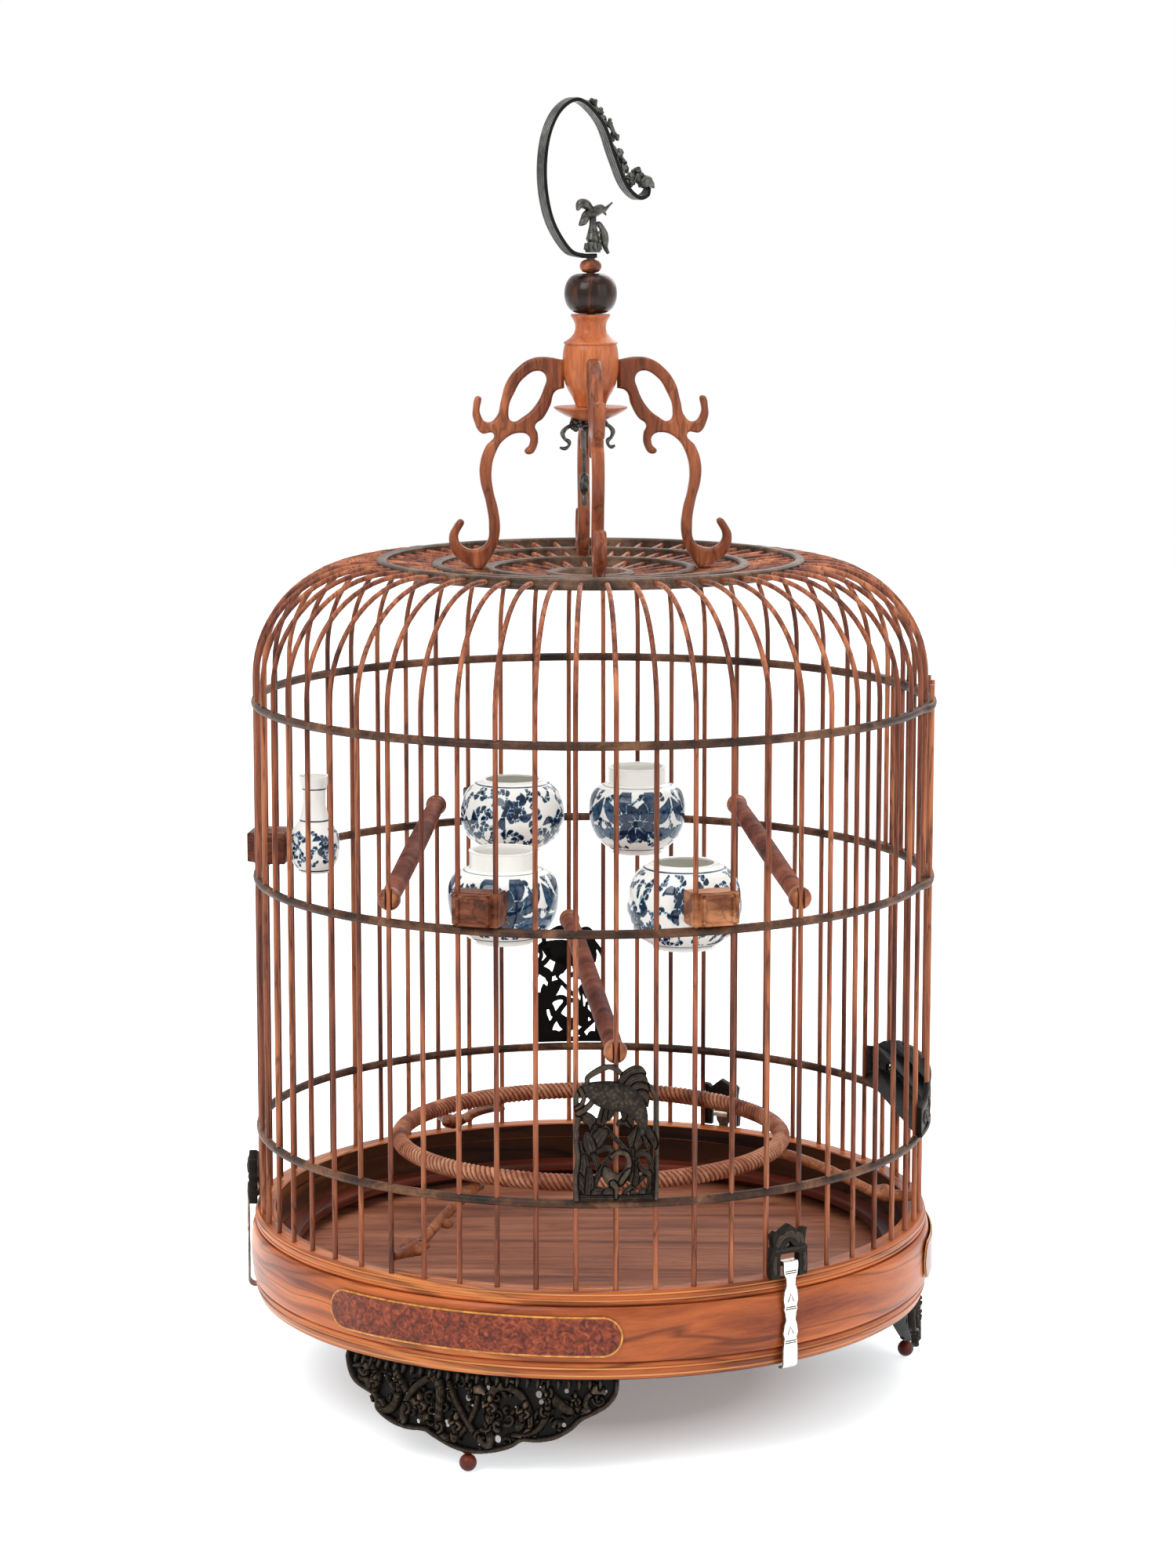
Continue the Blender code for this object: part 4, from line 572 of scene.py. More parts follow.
ARM = ((0.8, 0), (0.895, 0.03), (0.965, 0.075), (0.995, 0.14), (0.975, 0.19), (0.895, 0.236), (0.925, 0.15),
       (0.885, 0.108), (0.79, 0.1), (0.73, 0.13), (0.715, 0.2), (0.735, 0.31), (0.775, 0.42), (0.775, 0.5),
       (0.735, 0.58), (0.68, 0.635), (0.765, 0.64), (0.815, 0.695), (0.826, 0.745), (0.778, 0.818), (0.768, 0.735),
       (0.72, 0.695), (0.66, 0.72), (0.63, 0.79), (0.59, 0.88), (0.51, 0.95), (0.42, 0.99), (0.33, 1),
       (0.182, 0.985), (0.182, 0.85), (0.245, 0.835), (0.28, 0.77), (0.33, 0.71), (0.385, 0.675), (0.368, 0.64),
       (0.375, 0.575), (0.42, 0.54), (0.465, 0.552), (0.43, 0.59), (0.435, 0.625), (0.5, 0.64), (0.6, 0.61),
       (0.66, 0.55), (0.69, 0.46), (0.678, 0.37), (0.645, 0.28), (0.635, 0.17), (0.68, 0.075), (0.755, 0))
ARM_CORNERS = (0, 28, 29, 48)
ARM_HOLE = ((0.36, 0.93), (0.46, 0.9), (0.53, 0.83), (0.57, 0.75), (0.55, 0.7), (0.47, 0.72), (0.39, 0.77),
            (0.33, 0.85), (0.315, 0.905))


def build_arms(look):
    """Carved S arms with rounded edges."""
    reach, soft = 0.0691, 0.0017
    low, high = span("arm_1")
    for number in range(4):
        node = f"arm_{number + 1}"
        curve = new_curve(node + "_carved", "2D", soft, 4, look["hub"])
        curve.fill_mode = "BOTH"
        curve.extrude = 0.003 - soft
        curve.offset = -0.0019
        curve.resolution_u = 8
        for loop, sharp in ((ARM, ARM_CORNERS), (ARM_HOLE, ())):
            spline = curve.splines.new("BEZIER")
            spline.bezier_points.add(len(loop) - 1)
            spline.use_cyclic_u = True
            for index, (point, (r, z)) in enumerate(zip(spline.bezier_points, loop)):
                point.co = (reach * r, low + (high - low) * z, 0.0)
                point.handle_left_type = point.handle_right_type = "VECTOR" if index in sharp else "AUTO"
        arm = bpy.data.objects.new(node + "_carved", curve)
        turn = Matrix.Rotation(radians(bar_degrees(number * 14) - 90.0), 4, "Z")
        arm.matrix_world = turn @ Matrix.Rotation(pi / 2, 4, "X")
        settle(arm, "cage", [node])


def hook_frame():
    """The hook's plane: its own X axis and its width's direction."""
    turn = radians(HOOK_TURN)
    return Vector((cos(turn), sin(turn), 0.0)), Vector((-sin(turn), cos(turn), 0.0))


def hook_route(steps):
    shares = ((0.1, 0), (-0.22, 0.004), (-0.52, 0.05), (-0.86, 0.24), (-1, 0.5), (-0.93, 0.76), (-0.67, 0.94),
              (-0.27, 1), (0.18, 0.86), (0.44, 0.64), (0.67, 0.46), (0.93, 0.375), (1.12, 0.39), (1.19, 0.44))
    base = HOOK_LOW + 0.0013
    tall = span("hook_strap")[1] - base - 0.0013
    return smooth_route([(0.0262 * x, base + tall * z) for x, z in shares], steps)


def build_hook(look):
    """The ribbed strip, bent to an open hook, with its shank."""
    along, across = hook_frame()
    route = hook_route(8)
    ribs, half = 4, 0.0039
    profile = []
    for step in range(ribs * 6 + 1):
        share = step / (ribs * 6)
        ridge = abs(sin(pi * ribs * share)) ** 0.7
        profile.append((half * (2 * share - 1), 0.0005 + 0.00065 * ridge, ridge))
    profile += [(-x, -0.4 * z - 0.0006, ridge) for x, z, ridge in profile]
    shape = bmesh.new()
    carve = shape.verts.layers.float.new("carve")
    loops = []
    for index, (x, z) in enumerate(route):
        ahead, behind = route[min(index + 1, len(route) - 1)], route[max(index - 1, 0)]
        direction = Vector((ahead[0] - behind[0], ahead[1] - behind[1])).normalized()
        share = min(1.0, (len(route) - index) / 14 + 0.35, 0.45 + index / 12)
        loop = []
        for width, depth, ridge in profile:
            place = along * (x - direction.y * depth) + across * width * share
            place.z = z + direction.x * depth
            loop.append(shape.verts.new(place))
            # The rib height, low in the grooves, drives the metal's painted shade there.
            loop[-1][carve] = ridge
        loops.append(loop)
    skin(shape, loops)
    settle(from_bmesh("hook_strip", shape, look["ribbed"]), "hook", ["hook_strap"], 50.0)
    shank = [(0, 0, span("hook_strap")[0]), (0, 0, 0.5535)]
    settle(rods("shank", [shank], 0.002, look["gunmetal"]), "hook", ["hook_strap"])
    build_vine(look, along, across, route)
    build_figure(look, along)
    build_pendant(look, along)


def build_vine(look, along, across, route):
    """Cast grape vine on the strip's outer right side: a stem, leaves, grapes and a beast's head."""
    random.seed(7)
    first = 58
    stem, lumps, leaves = [], [], []
    for index, (x, z) in enumerate(route[first:92]):
        ahead = route[first + 1 + index]
        direction = Vector((ahead[0] - x, ahead[1] - z)).normalized()
        out = Vector((-direction.y, direction.x))
        if out.x < 0 and index > 3:
            out = -out
        wave = (0.003 + 0.0012 * sin(index * 0.9)) * min(1.0, 0.3 + index / 9)
        side = 0.0016 * sin(index * 1.3)
        rise = min(max((index - 20) / 13, 0.0), 1.0)
        place = along * (x + out.x * wave) + across * side
        place.z = z + out.y * wave + 0.0085 * rise * rise * (3.0 - 2.0 * rise)
        stem.append((place, 1.0 + 0.5 * sin(index * 1.7) ** 2))
        if index % 3 == 1:
            for _ in range(7):
                jitter = Vector([random.uniform(-0.0019, 0.0019) for _ in range(3)])
                lumps.append((place + along * out.x * 0.0012 + jitter, random.uniform(0.0009, 0.0014)))
        if index % 4 == 2:
            tip = place + along * (out.x * 0.0034) + across * random.uniform(-0.003, 0.003)
            tip.z += out.y * 0.0034
            leaves.append([(place, 0.8), ((place + tip) / 2, 2.7), (tip, 0.5)])
    head = stem[-1][0]
    leaves += [[(head + along * x / 1000 + UP * z / 1000, share) for x, z, share in part] for part in (
        ((-1, 0, 2.6), (1.6, 1, 4.2), (3.8, 1, 3.4), (5.6, -0.6, 1.9), (6.8, -2, 0.6)),
        ((1.6, 1, 1.4), (-0.6, 4.6, 0.5)), ((0.4, 0, 1.8), (-3.4, 1.8, 1.6), (-5.6, 0, 0.5)))]
    settle(rods("vine_stem", [stem], 0.00095, look["gunmetal"], 2), "hook", ["hook_vine"])
    settle(rods("vine_leaves", leaves, 0.00085, look["gunmetal"], 2), "hook", ["hook_vine"])
    settle(pearls("vine_grapes", lumps, look["gunmetal"]), "hook", ["hook_vine"], 80.0)


def pearls(name, lumps, material):
    """Small balls in one piece."""
    shape = bmesh.new()
    for place, radius in lumps:
        bmesh.ops.create_icosphere(shape, subdivisions=2, radius=radius, matrix=Matrix.Translation(place))
    return from_bmesh(name, shape, material)


def build_figure(look, along):
    """A long-beaked bird on a lotus post, and a small creature climbing beside it."""
    low = HOOK_LOW + 0.0029
    metal_look = look["gunmetal"]

    def at(x, z):
        return along * x + UP * (low + z)

    foot = at(0.0012, 0.001)
    petals = []
    for index in range(10):
        angle = 2 * pi * index / 10
        out = Vector((cos(angle), sin(angle), 0))
        petals.append([(foot + out * 0.0018, 0.8), (foot + out * 0.0034 + UP * 0.001, 1.3),
                       (foot + out * 0.0036 + UP * 0.0034, 0.4)])
    settle(rods("lotus_petals", petals, 0.001, metal_look, 2), "hook", ["hook_figure"])
    post = lifted(low, (0, 0), (3.6, 0), (4, 1.2), (3, 4.4), (2.6, 5), (3.4, 6.2), (2.6, 9.2), (1.8, 12.6),
                  (1.6, 18), (0, 19))
    settle(turned("figure_post", post, metal_look, segments=32, closed=False, centre=foot), "hook",
           ["hook_figure"])
    for name, routes, radius in (("bird", BIRD, 0.0015), ("climbing_creature", CREATURE, 0.0016)):
        settle(rods(name, smooth_pairs(routes, at), radius, metal_look), "hook", ["hook_figure"])


def smooth_pairs(routes, place, steps=5):
    """Smoothed routes of (place, thickness share) from given (x, z, share) points in millimetres."""
    made = []
    for route in routes:
        flat = smooth_route([(*place(*(v / 1000 for v in values)), share) for *values, share in route], steps)
        made.append([(Vector(entry[:3]), max(entry[3], 0.05)) for entry in flat])
    return made
BIRD = (((-5.2, 15.8, 0.3), (-3, 18, 1), (0.2, 18.6, 1.8), (3, 19.6, 1.7), (5.6, 20.6, 1.5), (7, 20, 1),
         (8.8, 21.2, 0.55), (11.8, 23.6, 0.25)),
        ((6.8, 19.6, 0.6), (8.4, 17.6, 0.3)), ((1, 19, 1), (-2.4, 22.6, 1.6), (-5.6, 22.8, 1.5), (-7.2, 19.8, 0.4)),
        ((-1, 17.6, 0.8), (-4, 14.6, 1.3), (-6.2, 12.8, 0.3)))
CREATURE = (((9.6, -0.6, 0.5), (8, 2.2, 0.8), (7.4, 5.6, 1.4), (7, 9, 1.3), (6, 11.6, 0.9), (4.2, 13.4, 0.9),
             (3.4, 12.4, 0.4)),
            ((7, 6, 0.7), (4.4, 5, 0.5)), ((6.6, 9.6, 0.6), (3.8, 9.2, 0.4)))


def build_pendant(look, along):
    """The collar with its two curls and cluster, and the rod with its drop."""
    metal_look = look["gunmetal"]
    high = span("pendant_fitting")[1]
    low = high - 0.0045
    collar = lifted(low, (2.3, 0), (4, 0), (4.6, 0.6), (4.2, 1.2), (5.5, 2.2), (5.5, 2.8), (4.8, 3.6), (5, 4.5),
                    (2.3, 4.5))
    settle(turned("pendant_collar", collar, metal_look, segments=40), "hook", ["pendant_fitting"])
    points = ((3, 2.6), (7.5, 3), (12.5, 1.8), (15.2, -0.8), (14.2, -3.6), (11.8, -5.2), (12, -7.2), (14.2, -8.4),
              (16.6, -7.8))
    curls = [[(side * x, z, 1.15 + 0.35 * (i % 2) - 0.07 * i) for i, (x, z) in enumerate(points)]
             for side in (-1.0, 0.8)]
    settle(rods("pendant_curls", smooth_pairs(curls, lambda x, z: along * x + UP * (low + z)), 0.00095, metal_look),
           "hook", ["pendant_fitting"])
    random.seed(3)
    lumps = []
    for side in (-1.0, 0.8):
        for _ in range(16):
            place = along * (side * random.uniform(0.004, 0.0105)) + Vector((0, random.uniform(-0.002, 0.002),
                                                                             low + random.uniform(0.001, 0.0052)))
            lumps.append((place, random.uniform(0.001, 0.0017)))
    settle(pearls("pendant_cluster", lumps, metal_look), "hook", ["pendant_fitting"], 80.0)
    low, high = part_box("pendant_rod")
    drop = lifted(low.z, (0, 0), (1, 0.4), (1.7, 2.2), (1.2, 4.4), (0.7, 5.4), (1.1, 6), (1.9, 7), (2.4, 9),
                  (2.5, 11.5), (1.9, 13.8), (2.2, 14.4), (2.2, 15), (1.1, 15.8)) + [(0.0009, high.z), (0.0, high.z)]
    settle(turned("pendant_drop", drop, metal_look, segments=32, closed=False, centre=(low + high) / 2), "hook",
           ["pendant_rod"])


APRON = ((-24.2, 0.0456), (-23.6, 0.0374), (-22.0, 0.0319), (-17.8, 0.0278), (-17.3, 0.0216), (-14.5, 0.0173),
         (-11.3, 0.0157), (-7.9, 0.0162), (-6.2, 0.0142), (-2.8, 0.0103), (0.5, 0.0087), (4.1, 0.01),
         (7.2, 0.0128), (9.2, 0.0164), (11.6, 0.0165), (14.6, 0.0182), (17.2, 0.0225), (18.9, 0.0271),
         (21.5, 0.0309), (23.2, 0.0341), (24.5, 0.0392), (24.8, 0.0456))


DEGREE = radians(FOOT_RADIUS)


def apron_low(across):
    """The lowest height of the lobed outline, by the distance along the apron from its middle."""
    return np.interp(across, [a * DEGREE for a, _ in APRON], [z for _, z in APRON])


def scroll(x, z, size, turn, hand, half, sweep=4.4):
    """A curling tendril that narrows into its eye."""
    route = []
    for step in range(9):
        share = step / 8
        angle = turn + hand * sweep * share
        reach = size * (1.0 - 0.8 * share)
        route.append((x + reach * cos(angle), z + reach * sin(angle), half * (1.0 - 0.35 * share)))
    return route
FIGURE = (([(-0.4, -7.6, 1.6), (-0.3, -5.2, 2.5), (0, -2.4, 2.2), (0.1, 0.2, 1.5)], 0.86, 5),
          ([(0, -2.6, 1.6), (0, 0.2, 2.1), (0.1, 2.6, 1.3)], 0.96, 3),
          ([(0.8, 1.9, 0.8), (2.9, 0.2, 0.8), (1.5, -1.6, 0.7)], 1.0, 0),
          ([(-0.8, 1.9, 0.8), (-2.8, 0.9, 0.8), (-3.4, 3, 0.6)], 1.0, 0),
          ([(0.1, 4.1, 1.35), (0.15, 4.9, 1.45), (0.1, 5.9, 0.9)], 1.0, 0))


def figure(x, z, lean, size):
    """A small robed figure: skirt, trunk, two arms and a head."""
    return [([(x + size * (across + lean * up), z + size * up, size * half) for across, up, half in part], lift, cuts)
            for part, lift, cuts in FIGURE]
FOOT_TOP = 0.0462
FOOT_FIGURES = ((-17.5, 0.035, 0.2, 0.62), (-8.3, 0.0285, -0.15, 0.9), (-2.0, 0.0215, 0.1, 0.95),
                (4.0, 0.032, 0.0, 0.92), (9.5, 0.03, 0.25, 0.95), (18.2, 0.037, -0.2, 0.6),
                (13.4, 0.0372, -0.1, 0.6), (-12.6, 0.038, 0.1, 0.58), (0.6, 0.0395, 0.1, 0.5))
DRAGONS = ((-22.5, -9.0, 0.3), (-13.0, 1.0, 2.0), (-2.0, 12.0, 4.1), (9.0, 22.5, 5.2))


def inside_apron(x, z, margin):
    return all(z > apron_low(x + shift * margin) + margin for shift in (-1.0, 0.0, 1.0)) and z < FOOT_TOP


def foot_routes(half_span):
    """Cloud scrolls, dragons, figures, short reeds and the plain rim of one apron."""
    routes = []
    tries, most = 1500, 74
    for _ in range(tries):
        x, z = random.uniform(-half_span, half_span), random.uniform(0.01, 0.0445)
        if len(routes) < most and inside_apron(x, z, 0.0016):
            routes.append((scroll(x, z, random.uniform(0.002, 0.0042), random.uniform(0.0, 6.3),
                                  random.choice((-1, 1)), random.uniform(0.0007, 0.0012)),
                           random.uniform(0.5, 0.85), random.choice((0, 0, 2))))
    for start, end, phase in DRAGONS:
        route = []
        for step in range(15):
            share = step / 14
            x = (start + (end - start) * share + 1.5 * sin(share * 13.0 + phase)) * DEGREE
            floor = float(apron_low(x)) + 0.0032
            z = (floor + 0.0425) / 2 + (0.0425 - floor) / 2 * sin(share * 9.5 + phase * 2.0)
            route.append((x, z, 0.0021 - 0.0012 * abs(2.0 * share - 1.0)))
        x, z, _ = route[-1]
        head = [(x - 0.0016, z, 0.0016), (x + 0.0002, z + 0.0006, 0.0023), (x + 0.0024, z - 0.0002, 0.0013)]
        routes += [(route, 0.92, 4), (head, 1.0, 0)]
        for step in (3, 6, 9):
            routes.append((scroll(*route[step][:2], 0.0042, phase + step, 1, 0.0009, 2.2), 0.8, 0))
    for x, z, lean, size in FOOT_FIGURES:
        routes += figure(x * DEGREE, z, lean, size / 1000)
    for step in range(27):
        x = (-22.0 + 44.0 * step / 26) * DEGREE
        if inside_apron(x, 0.0432, 0.0005):
            routes.append(([(x, 0.043, 0.0006), (x + 0.0002, 0.045, 0.001), (x, 0.0466, 0.0008)], 0.8, 0))
    return routes + [([(a * DEGREE, z + 0.001, 0.0011) for a, z in APRON], 0.72, 0)]


def build_foot(look, index):
    """An openwork apron of robed figures, dragons and cloud scrolls inside a plain rim, and the ball under it."""
    random.seed(40 + index)
    middle = FOOT_DEGREES + 120.0 * index
    name = f"foot_{index + 1}"
    half_span = 24.2 * DEGREE
    routes = foot_routes(half_span)
    holes = []
    tries, most = 2500, 44
    for _ in range(tries):
        x, z = random.uniform(-half_span, half_span), random.uniform(0.01, 0.0435)
        wide = random.uniform(0.0008, 0.0015)
        if len(holes) < most and inside_apron(x, z, 0.0022) and all(hypot(x - a, z - b) > wide + c
                                                                   for a, b, c in holes):
            holes.append((x, z, wide))

    def ground(xs, zs):
        cover = np.minimum(zs - apron_low(xs) - 0.0006, 0.0469 - zs)
        for x, z, wide in holes:
            cover = np.minimum(cover, np.hypot(xs - x, (zs - z) * 0.8) - wide)
        # The ground stays low at 0.12, which the carved material paints as near-black shade.
        return np.clip(cover, -0.002, 0.002), np.full(xs.shape, 0.12)

    def on_foot(x, z, out):
        """The carving sinks a little where it runs up behind the moulding's lip."""
        sunk = max(0.0, (z - 0.0445) / 0.0025)
        return polar(0.1602 + out * (1.0 - 0.45 * sunk), middle + degrees(x / FOOT_RADIUS), z)

    apron = relief(name + "_apron", ((-0.0715, 0.0078), (0.0715, 0.047)), 0.00045, routes, 0.005, on_foot,
                   look["carved"], ground, floor=0.12)
    settle(apron, "cage", [name], 50.0)
    ball = [(0.0, 0.0)]
    for step in range(1, 24):
        turn = pi * step / 24
        ball.append((0.0041 * sin(turn), max(0.00415 - 0.00415 * cos(turn), 0.0)))
    ball += lifted(0.0, (2.2, 8.8), (3, 9.6), (0, 10))
    settle(turned(name + "_ball", ball, look["inner_wall_lower"], segments=40, closed=False,
                  centre=polar(0.162, middle, 0.0)), "cage", [name], 60.0)


def plate_solid(name, outline, holes, thickness, place, material, bevel=0.0005):
    """A pierced flat carving from an outline; place maps (across, up, out) to the scene."""
    curve = new_curve(name + "_outline", "2D", bevel, 1, material)
    curve.fill_mode = "BOTH"
    curve.extrude = thickness / 2 - bevel
    curve.offset = -bevel
    for loop in (outline, *holes):
        spline = curve.splines.new("POLY")
        spline.points.add(len(loop) - 1)
        spline.use_cyclic_u = True
        for point, (x, y) in zip(spline.points, loop):
            point.co = (x, y, 0.0, 1.0)
    draft = bpy.data.objects.new(name + "_draft", curve)
    bpy.context.scene.collection.objects.link(draft)
    mesh = bpy.data.meshes.new_from_object(draft.evaluated_get(bpy.context.evaluated_depsgraph_get()))
    bpy.data.objects.remove(draft)
    bpy.data.curves.remove(curve)
    for vertex in mesh.vertices:
        vertex.co = place(*vertex.co)
    mesh.materials.clear()
    mesh.materials.append(material)
    mesh.name = name
    return bpy.data.objects.new(name, mesh)
BLOCK_OUTLINE = ((-10, 0), (-5.2, 0), (-5.2, 10.5), (-4.6, 11.2), (4.6, 11.2), (5.2, 10.5), (5.2, 0), (10, 0),
                 (10.3, 3.5), (10, 13.5), (8.6, 15), (9.2, 19.6), (9.8, 22.2), (7.2, 21.8), (5.6, 20.2), (3, 22.6),
                 (0, None), (-3.4, 23.2), (-6, 21.2), (-7.8, 22.4), (-9.8, 20.6), (-9, 15), (-10, 13.5),
                 (-10.3, 3.5))
BLOCK_HOLE = ((-3, 14.2), (2.2, 14.2), (-0.2, 17.2))
BLOCK_CARVING = (
    ((-7.2, 15.2, 1.8, 0.9), (-5.6, 18.6, 1.5, 1.5), (-3, 20, 1.8, 1.1)),
    ((-8, 2, 1.8, 0.8), (-8.4, 6.2, 1.8, 1.1), (-7.8, 10.8, 1.8, 0.8)),
    ((7.2, 15.2, 1.8, 0.9), (5.6, 18.6, 1.5, 1.5), (3, 20, 1.8, 1.1)),
    ((8, 2, 1.8, 0.8), (8.4, 6.2, 1.8, 1.1), (7.8, 10.8, 1.8, 0.8)),
    ((-4, 19.6, 1.6, 1.2), (0, 20.6, 0.9, 2), (3.6, 18.2, 1.7, 1.2), (4.6, 15.8, 1.9, 0.7)))


def build_clip(look, index, body):
    """The carved block on the bars and the scalloped silver strap that hangs from it."""
    middle = (32.96, 155.1, -89.18)[index]
    block = f"clip_block_{index + 1}"
    low, high = span(block)
    inner, outer, gauge = 0.1645, 0.1696, 0.167

    def on_block(x, z, out):
        return polar((inner + outer) / 2 + out, middle + degrees(x / gauge), low + z)

    outline, hole = ([(x / 1000, high - low - 0.0006 if z is None else z / 1000) for x, z in loop]
                     for loop in (BLOCK_OUTLINE, BLOCK_HOLE))
    settle(plate_solid(block + "_plate", outline, [hole], 0.0042, on_block, look["carved_plain"]), "cage",
           [block])
    rope = []
    for step in range(15):
        x = -0.0078 + 0.0156 * step / 14
        rope.append([(on_block(x, 0.0126, 0.002), 0.8), (on_block(x + 0.0007, 0.0138, 0.002), 0.8)])
    carving = smooth_pairs(BLOCK_CARVING, on_block)
    # The raised rope and relief take the lighter tone: painted highlight with rubbed wear.
    settle(rods(block + "_rope", rope, 0.00055, look["carved_raised"], 1), "cage", [block])
    settle(rods(block + "_relief", carving, 0.00105, look["carved_raised"], 2), "cage", [block])
    build_strap(look, f"clip_{index + 1}", body, middle)
SCALLOPS = ((0, 3.7), (0.16, 3.7), (0.2, 3.4), (0.245, 2.3), (0.29, 2.2), (0.35, 3.3), (0.41, 3.6), (0.465, 3),
            (0.478, 3.4), (0.52, 2.7), (0.565, 2.4), (0.62, 3.3), (0.67, 3.7), (0.715, 3), (0.735, 3.3), (0.8, 3.6),
            (1, 3.5))


def strap_path(low, high):
    """(Radius, height) points of the strap: behind its hinge, over it, straight down and in at the foot."""
    hinge, bend, foot_bend = 0.0951, 0.0022, 0.003
    path = [(0.1652, hinge - 0.0006), (0.1652, hinge + 0.0008)]
    for step in range(11):
        turn = pi * step / 10
        path.append((0.1674 - bend * cos(turn), min(hinge + 0.001 + bend * sin(turn), high - 0.0004)))
    path.append((0.1695, hinge - 0.0024))
    start, end = hinge - 0.006, low + 0.0036
    path += [(STRAP_RADIUS, start + (end - start) * step / 20) for step in range(21)]
    for step in range(1, 9):
        turn = pi * 0.62 * step / 8
        path.append((STRAP_RADIUS - foot_bend * (1 - cos(turn)), end - foot_bend * sin(turn)))
    return path


def build_strap(look, strap, body, middle):
    path = strap_path(*span(strap))
    lengths = measured(path)
    stations = []
    count = 120
    for i in range(count + 1):
        goal = lengths[-1] * i / count
        at = min(max(int(np.searchsorted(lengths, goal, "right")) - 1, 0), len(path) - 2)
        t = (goal - lengths[at]) / (lengths[at + 1] - lengths[at])
        share = i / count
        row = next((n for n, v in enumerate(SCALLOPS) if v[0] > share), len(SCALLOPS) - 1)
        (s0, w0), (s1, w1) = SCALLOPS[row - 1], SCALLOPS[row]
        blend = min(1.0, max(0.0, (share - s0) / (s1 - s0)))
        blend = blend * blend * (3 - 2 * blend)
        stations.append(([p + (q - p) * t for p, q in zip(path[at], path[at + 1])],
                         STRAP_WIDEN * (w0 + (w1 - w0) * blend) / 1000))

    def on_strap(radius, across, z):
        return polar(radius, middle + degrees(across / STRAP_GAUGE), z)

    shape = bmesh.new()
    rings = []
    for i, ((r, z), half) in enumerate(stations):
        before, after = stations[max(i - 1, 0)][0], stations[min(i + 1, count)][0]
        along = Vector((after[0] - before[0], after[1] - before[1])).normalized() * STRAP_HALF_THICK
        rings.append([shape.verts.new(on_strap(r - along.y * depth, half * side, z + along.x * depth))
                      for side, depth in ((-1, -1), (-0.94, 1), (0, 1), (0.94, 1), (1, -1), (0, -1))])
    for number, face in enumerate(skin(shape, rings)):
        face.material_index = 0 if number % 6 in (1, 2) else 1
    settle(from_bmesh(strap + "_strip", shape, look["silver"], look["tarnish"]), body, [strap], 45.0)
    lines = []
    marks = [(share, None) for share in (0.185, 0.2, 0.47, 0.49, 0.735, 0.75)]
    caret = ((-0.0016, -0.0016), (-0.0002, 0.0022), (0.0016, -0.0014))
    for share, points in marks + [(0.4, caret), (0.665, caret)]:
        (r, z), half = stations[int(share * count)]
        points = points or [(half * 0.8 * side, 0.0) for side in (-1, 0, 1)]
        lines.append([on_strap(r + 0.00032, x, z + dz) for x, dz in points])
    settle(rods(strap + "_engraving", lines, 0.00026, look["groove"], 1), body, [strap])


def porcelain():
    """White glaze; the blue of the brush strokes comes from the mesh's own paint attribute."""
    finish = Finish("porcelain", 0.1, 0.0, 0.1, 0.4)
    pool = finish.remap(finish.noise(finish.place(), 420.0, 4.0, 0.65), 0.3, 0.7, 0.72, 1.2)
    finish.colour(finish.ramp(finish.math("MULTIPLY", finish.attribute("paint"), pool), (0.0, linear(251, 250, 243)),
                              (0.22, linear(166, 192, 204)), (0.48, linear(58, 102, 138)),
                              (0.74, linear(18, 44, 74)), (1.0, linear(6, 15, 28))))
    return finish.material


INK_EDGE = 0.00024


def heading(angle, reach=1.0):
    return reach * cos(angle), reach * sin(angle)


def leaf(u, v, turn, size, bend, broad, tone, lined=False):
    """Brush strokes of one curved leaf that starts at (u, v)."""
    path = []
    for step, wide in ((0.0, 0.1), (0.25, 0.8), (0.5, 1.0), (0.75, 0.65), (1.0, 0.03)):
        dx, dz = heading(turn + bend * step, size * step)
        path.append((u + dx, v + dz, size * broad * wide))
    made = [(path, tone, 0.00035)]
    if lined:
        tip_x, tip_z = heading(turn + bend)
        for hand in (-1.0, 1.0):
            made.append(([(x - hand * w * tip_z, z + hand * w * tip_x, 0.00026) for x, z, w in path], 1.0, 0.0))
        made.append(([(x, z, 0.0002) for x, z, _ in path[:-1]], 0.95, 0.0))
    return made


def blossom(u, v, size, petals, turn, tone):
    """An open flower: lined petals round a dark heart."""
    made = []
    for index in range(petals):
        angle = turn + 2.0 * pi * index / petals
        dx, dz = heading(angle, 0.12 * size)
        made += leaf(u + dx, v + dz, angle, size * 0.88, 0.18, 0.3, tone, True)
    return made + [([(u - 0.1 * size, v, 0.16 * size), (u + 0.1 * size, v, 0.16 * size)], 1.0, 0.0003)]


def spray(u, v, turn, size, bend, count):
    """A curling stem with dark leaves on both sides."""
    stem = [(u, v, 0.0004)]
    made = []
    for step in range(1, 7):
        dx, dz = heading(turn + bend * step / 6, size / 6)
        stem.append((stem[-1][0] + dx, stem[-1][1] + dz, 0.0004))
    for index in range(count):
        x, z, _ = stem[1 + index * 5 // (count - 1)]
        angle = turn + bend * index / count
        hand = 1.0 if index % 2 else -1.0
        made += leaf(x, z, angle + 0.95 * hand, size * (0.46 - 0.02 * index), -1.1 * hand, 0.33, 0.96)
    return [(stem, 1.0, 0.0003)] + made


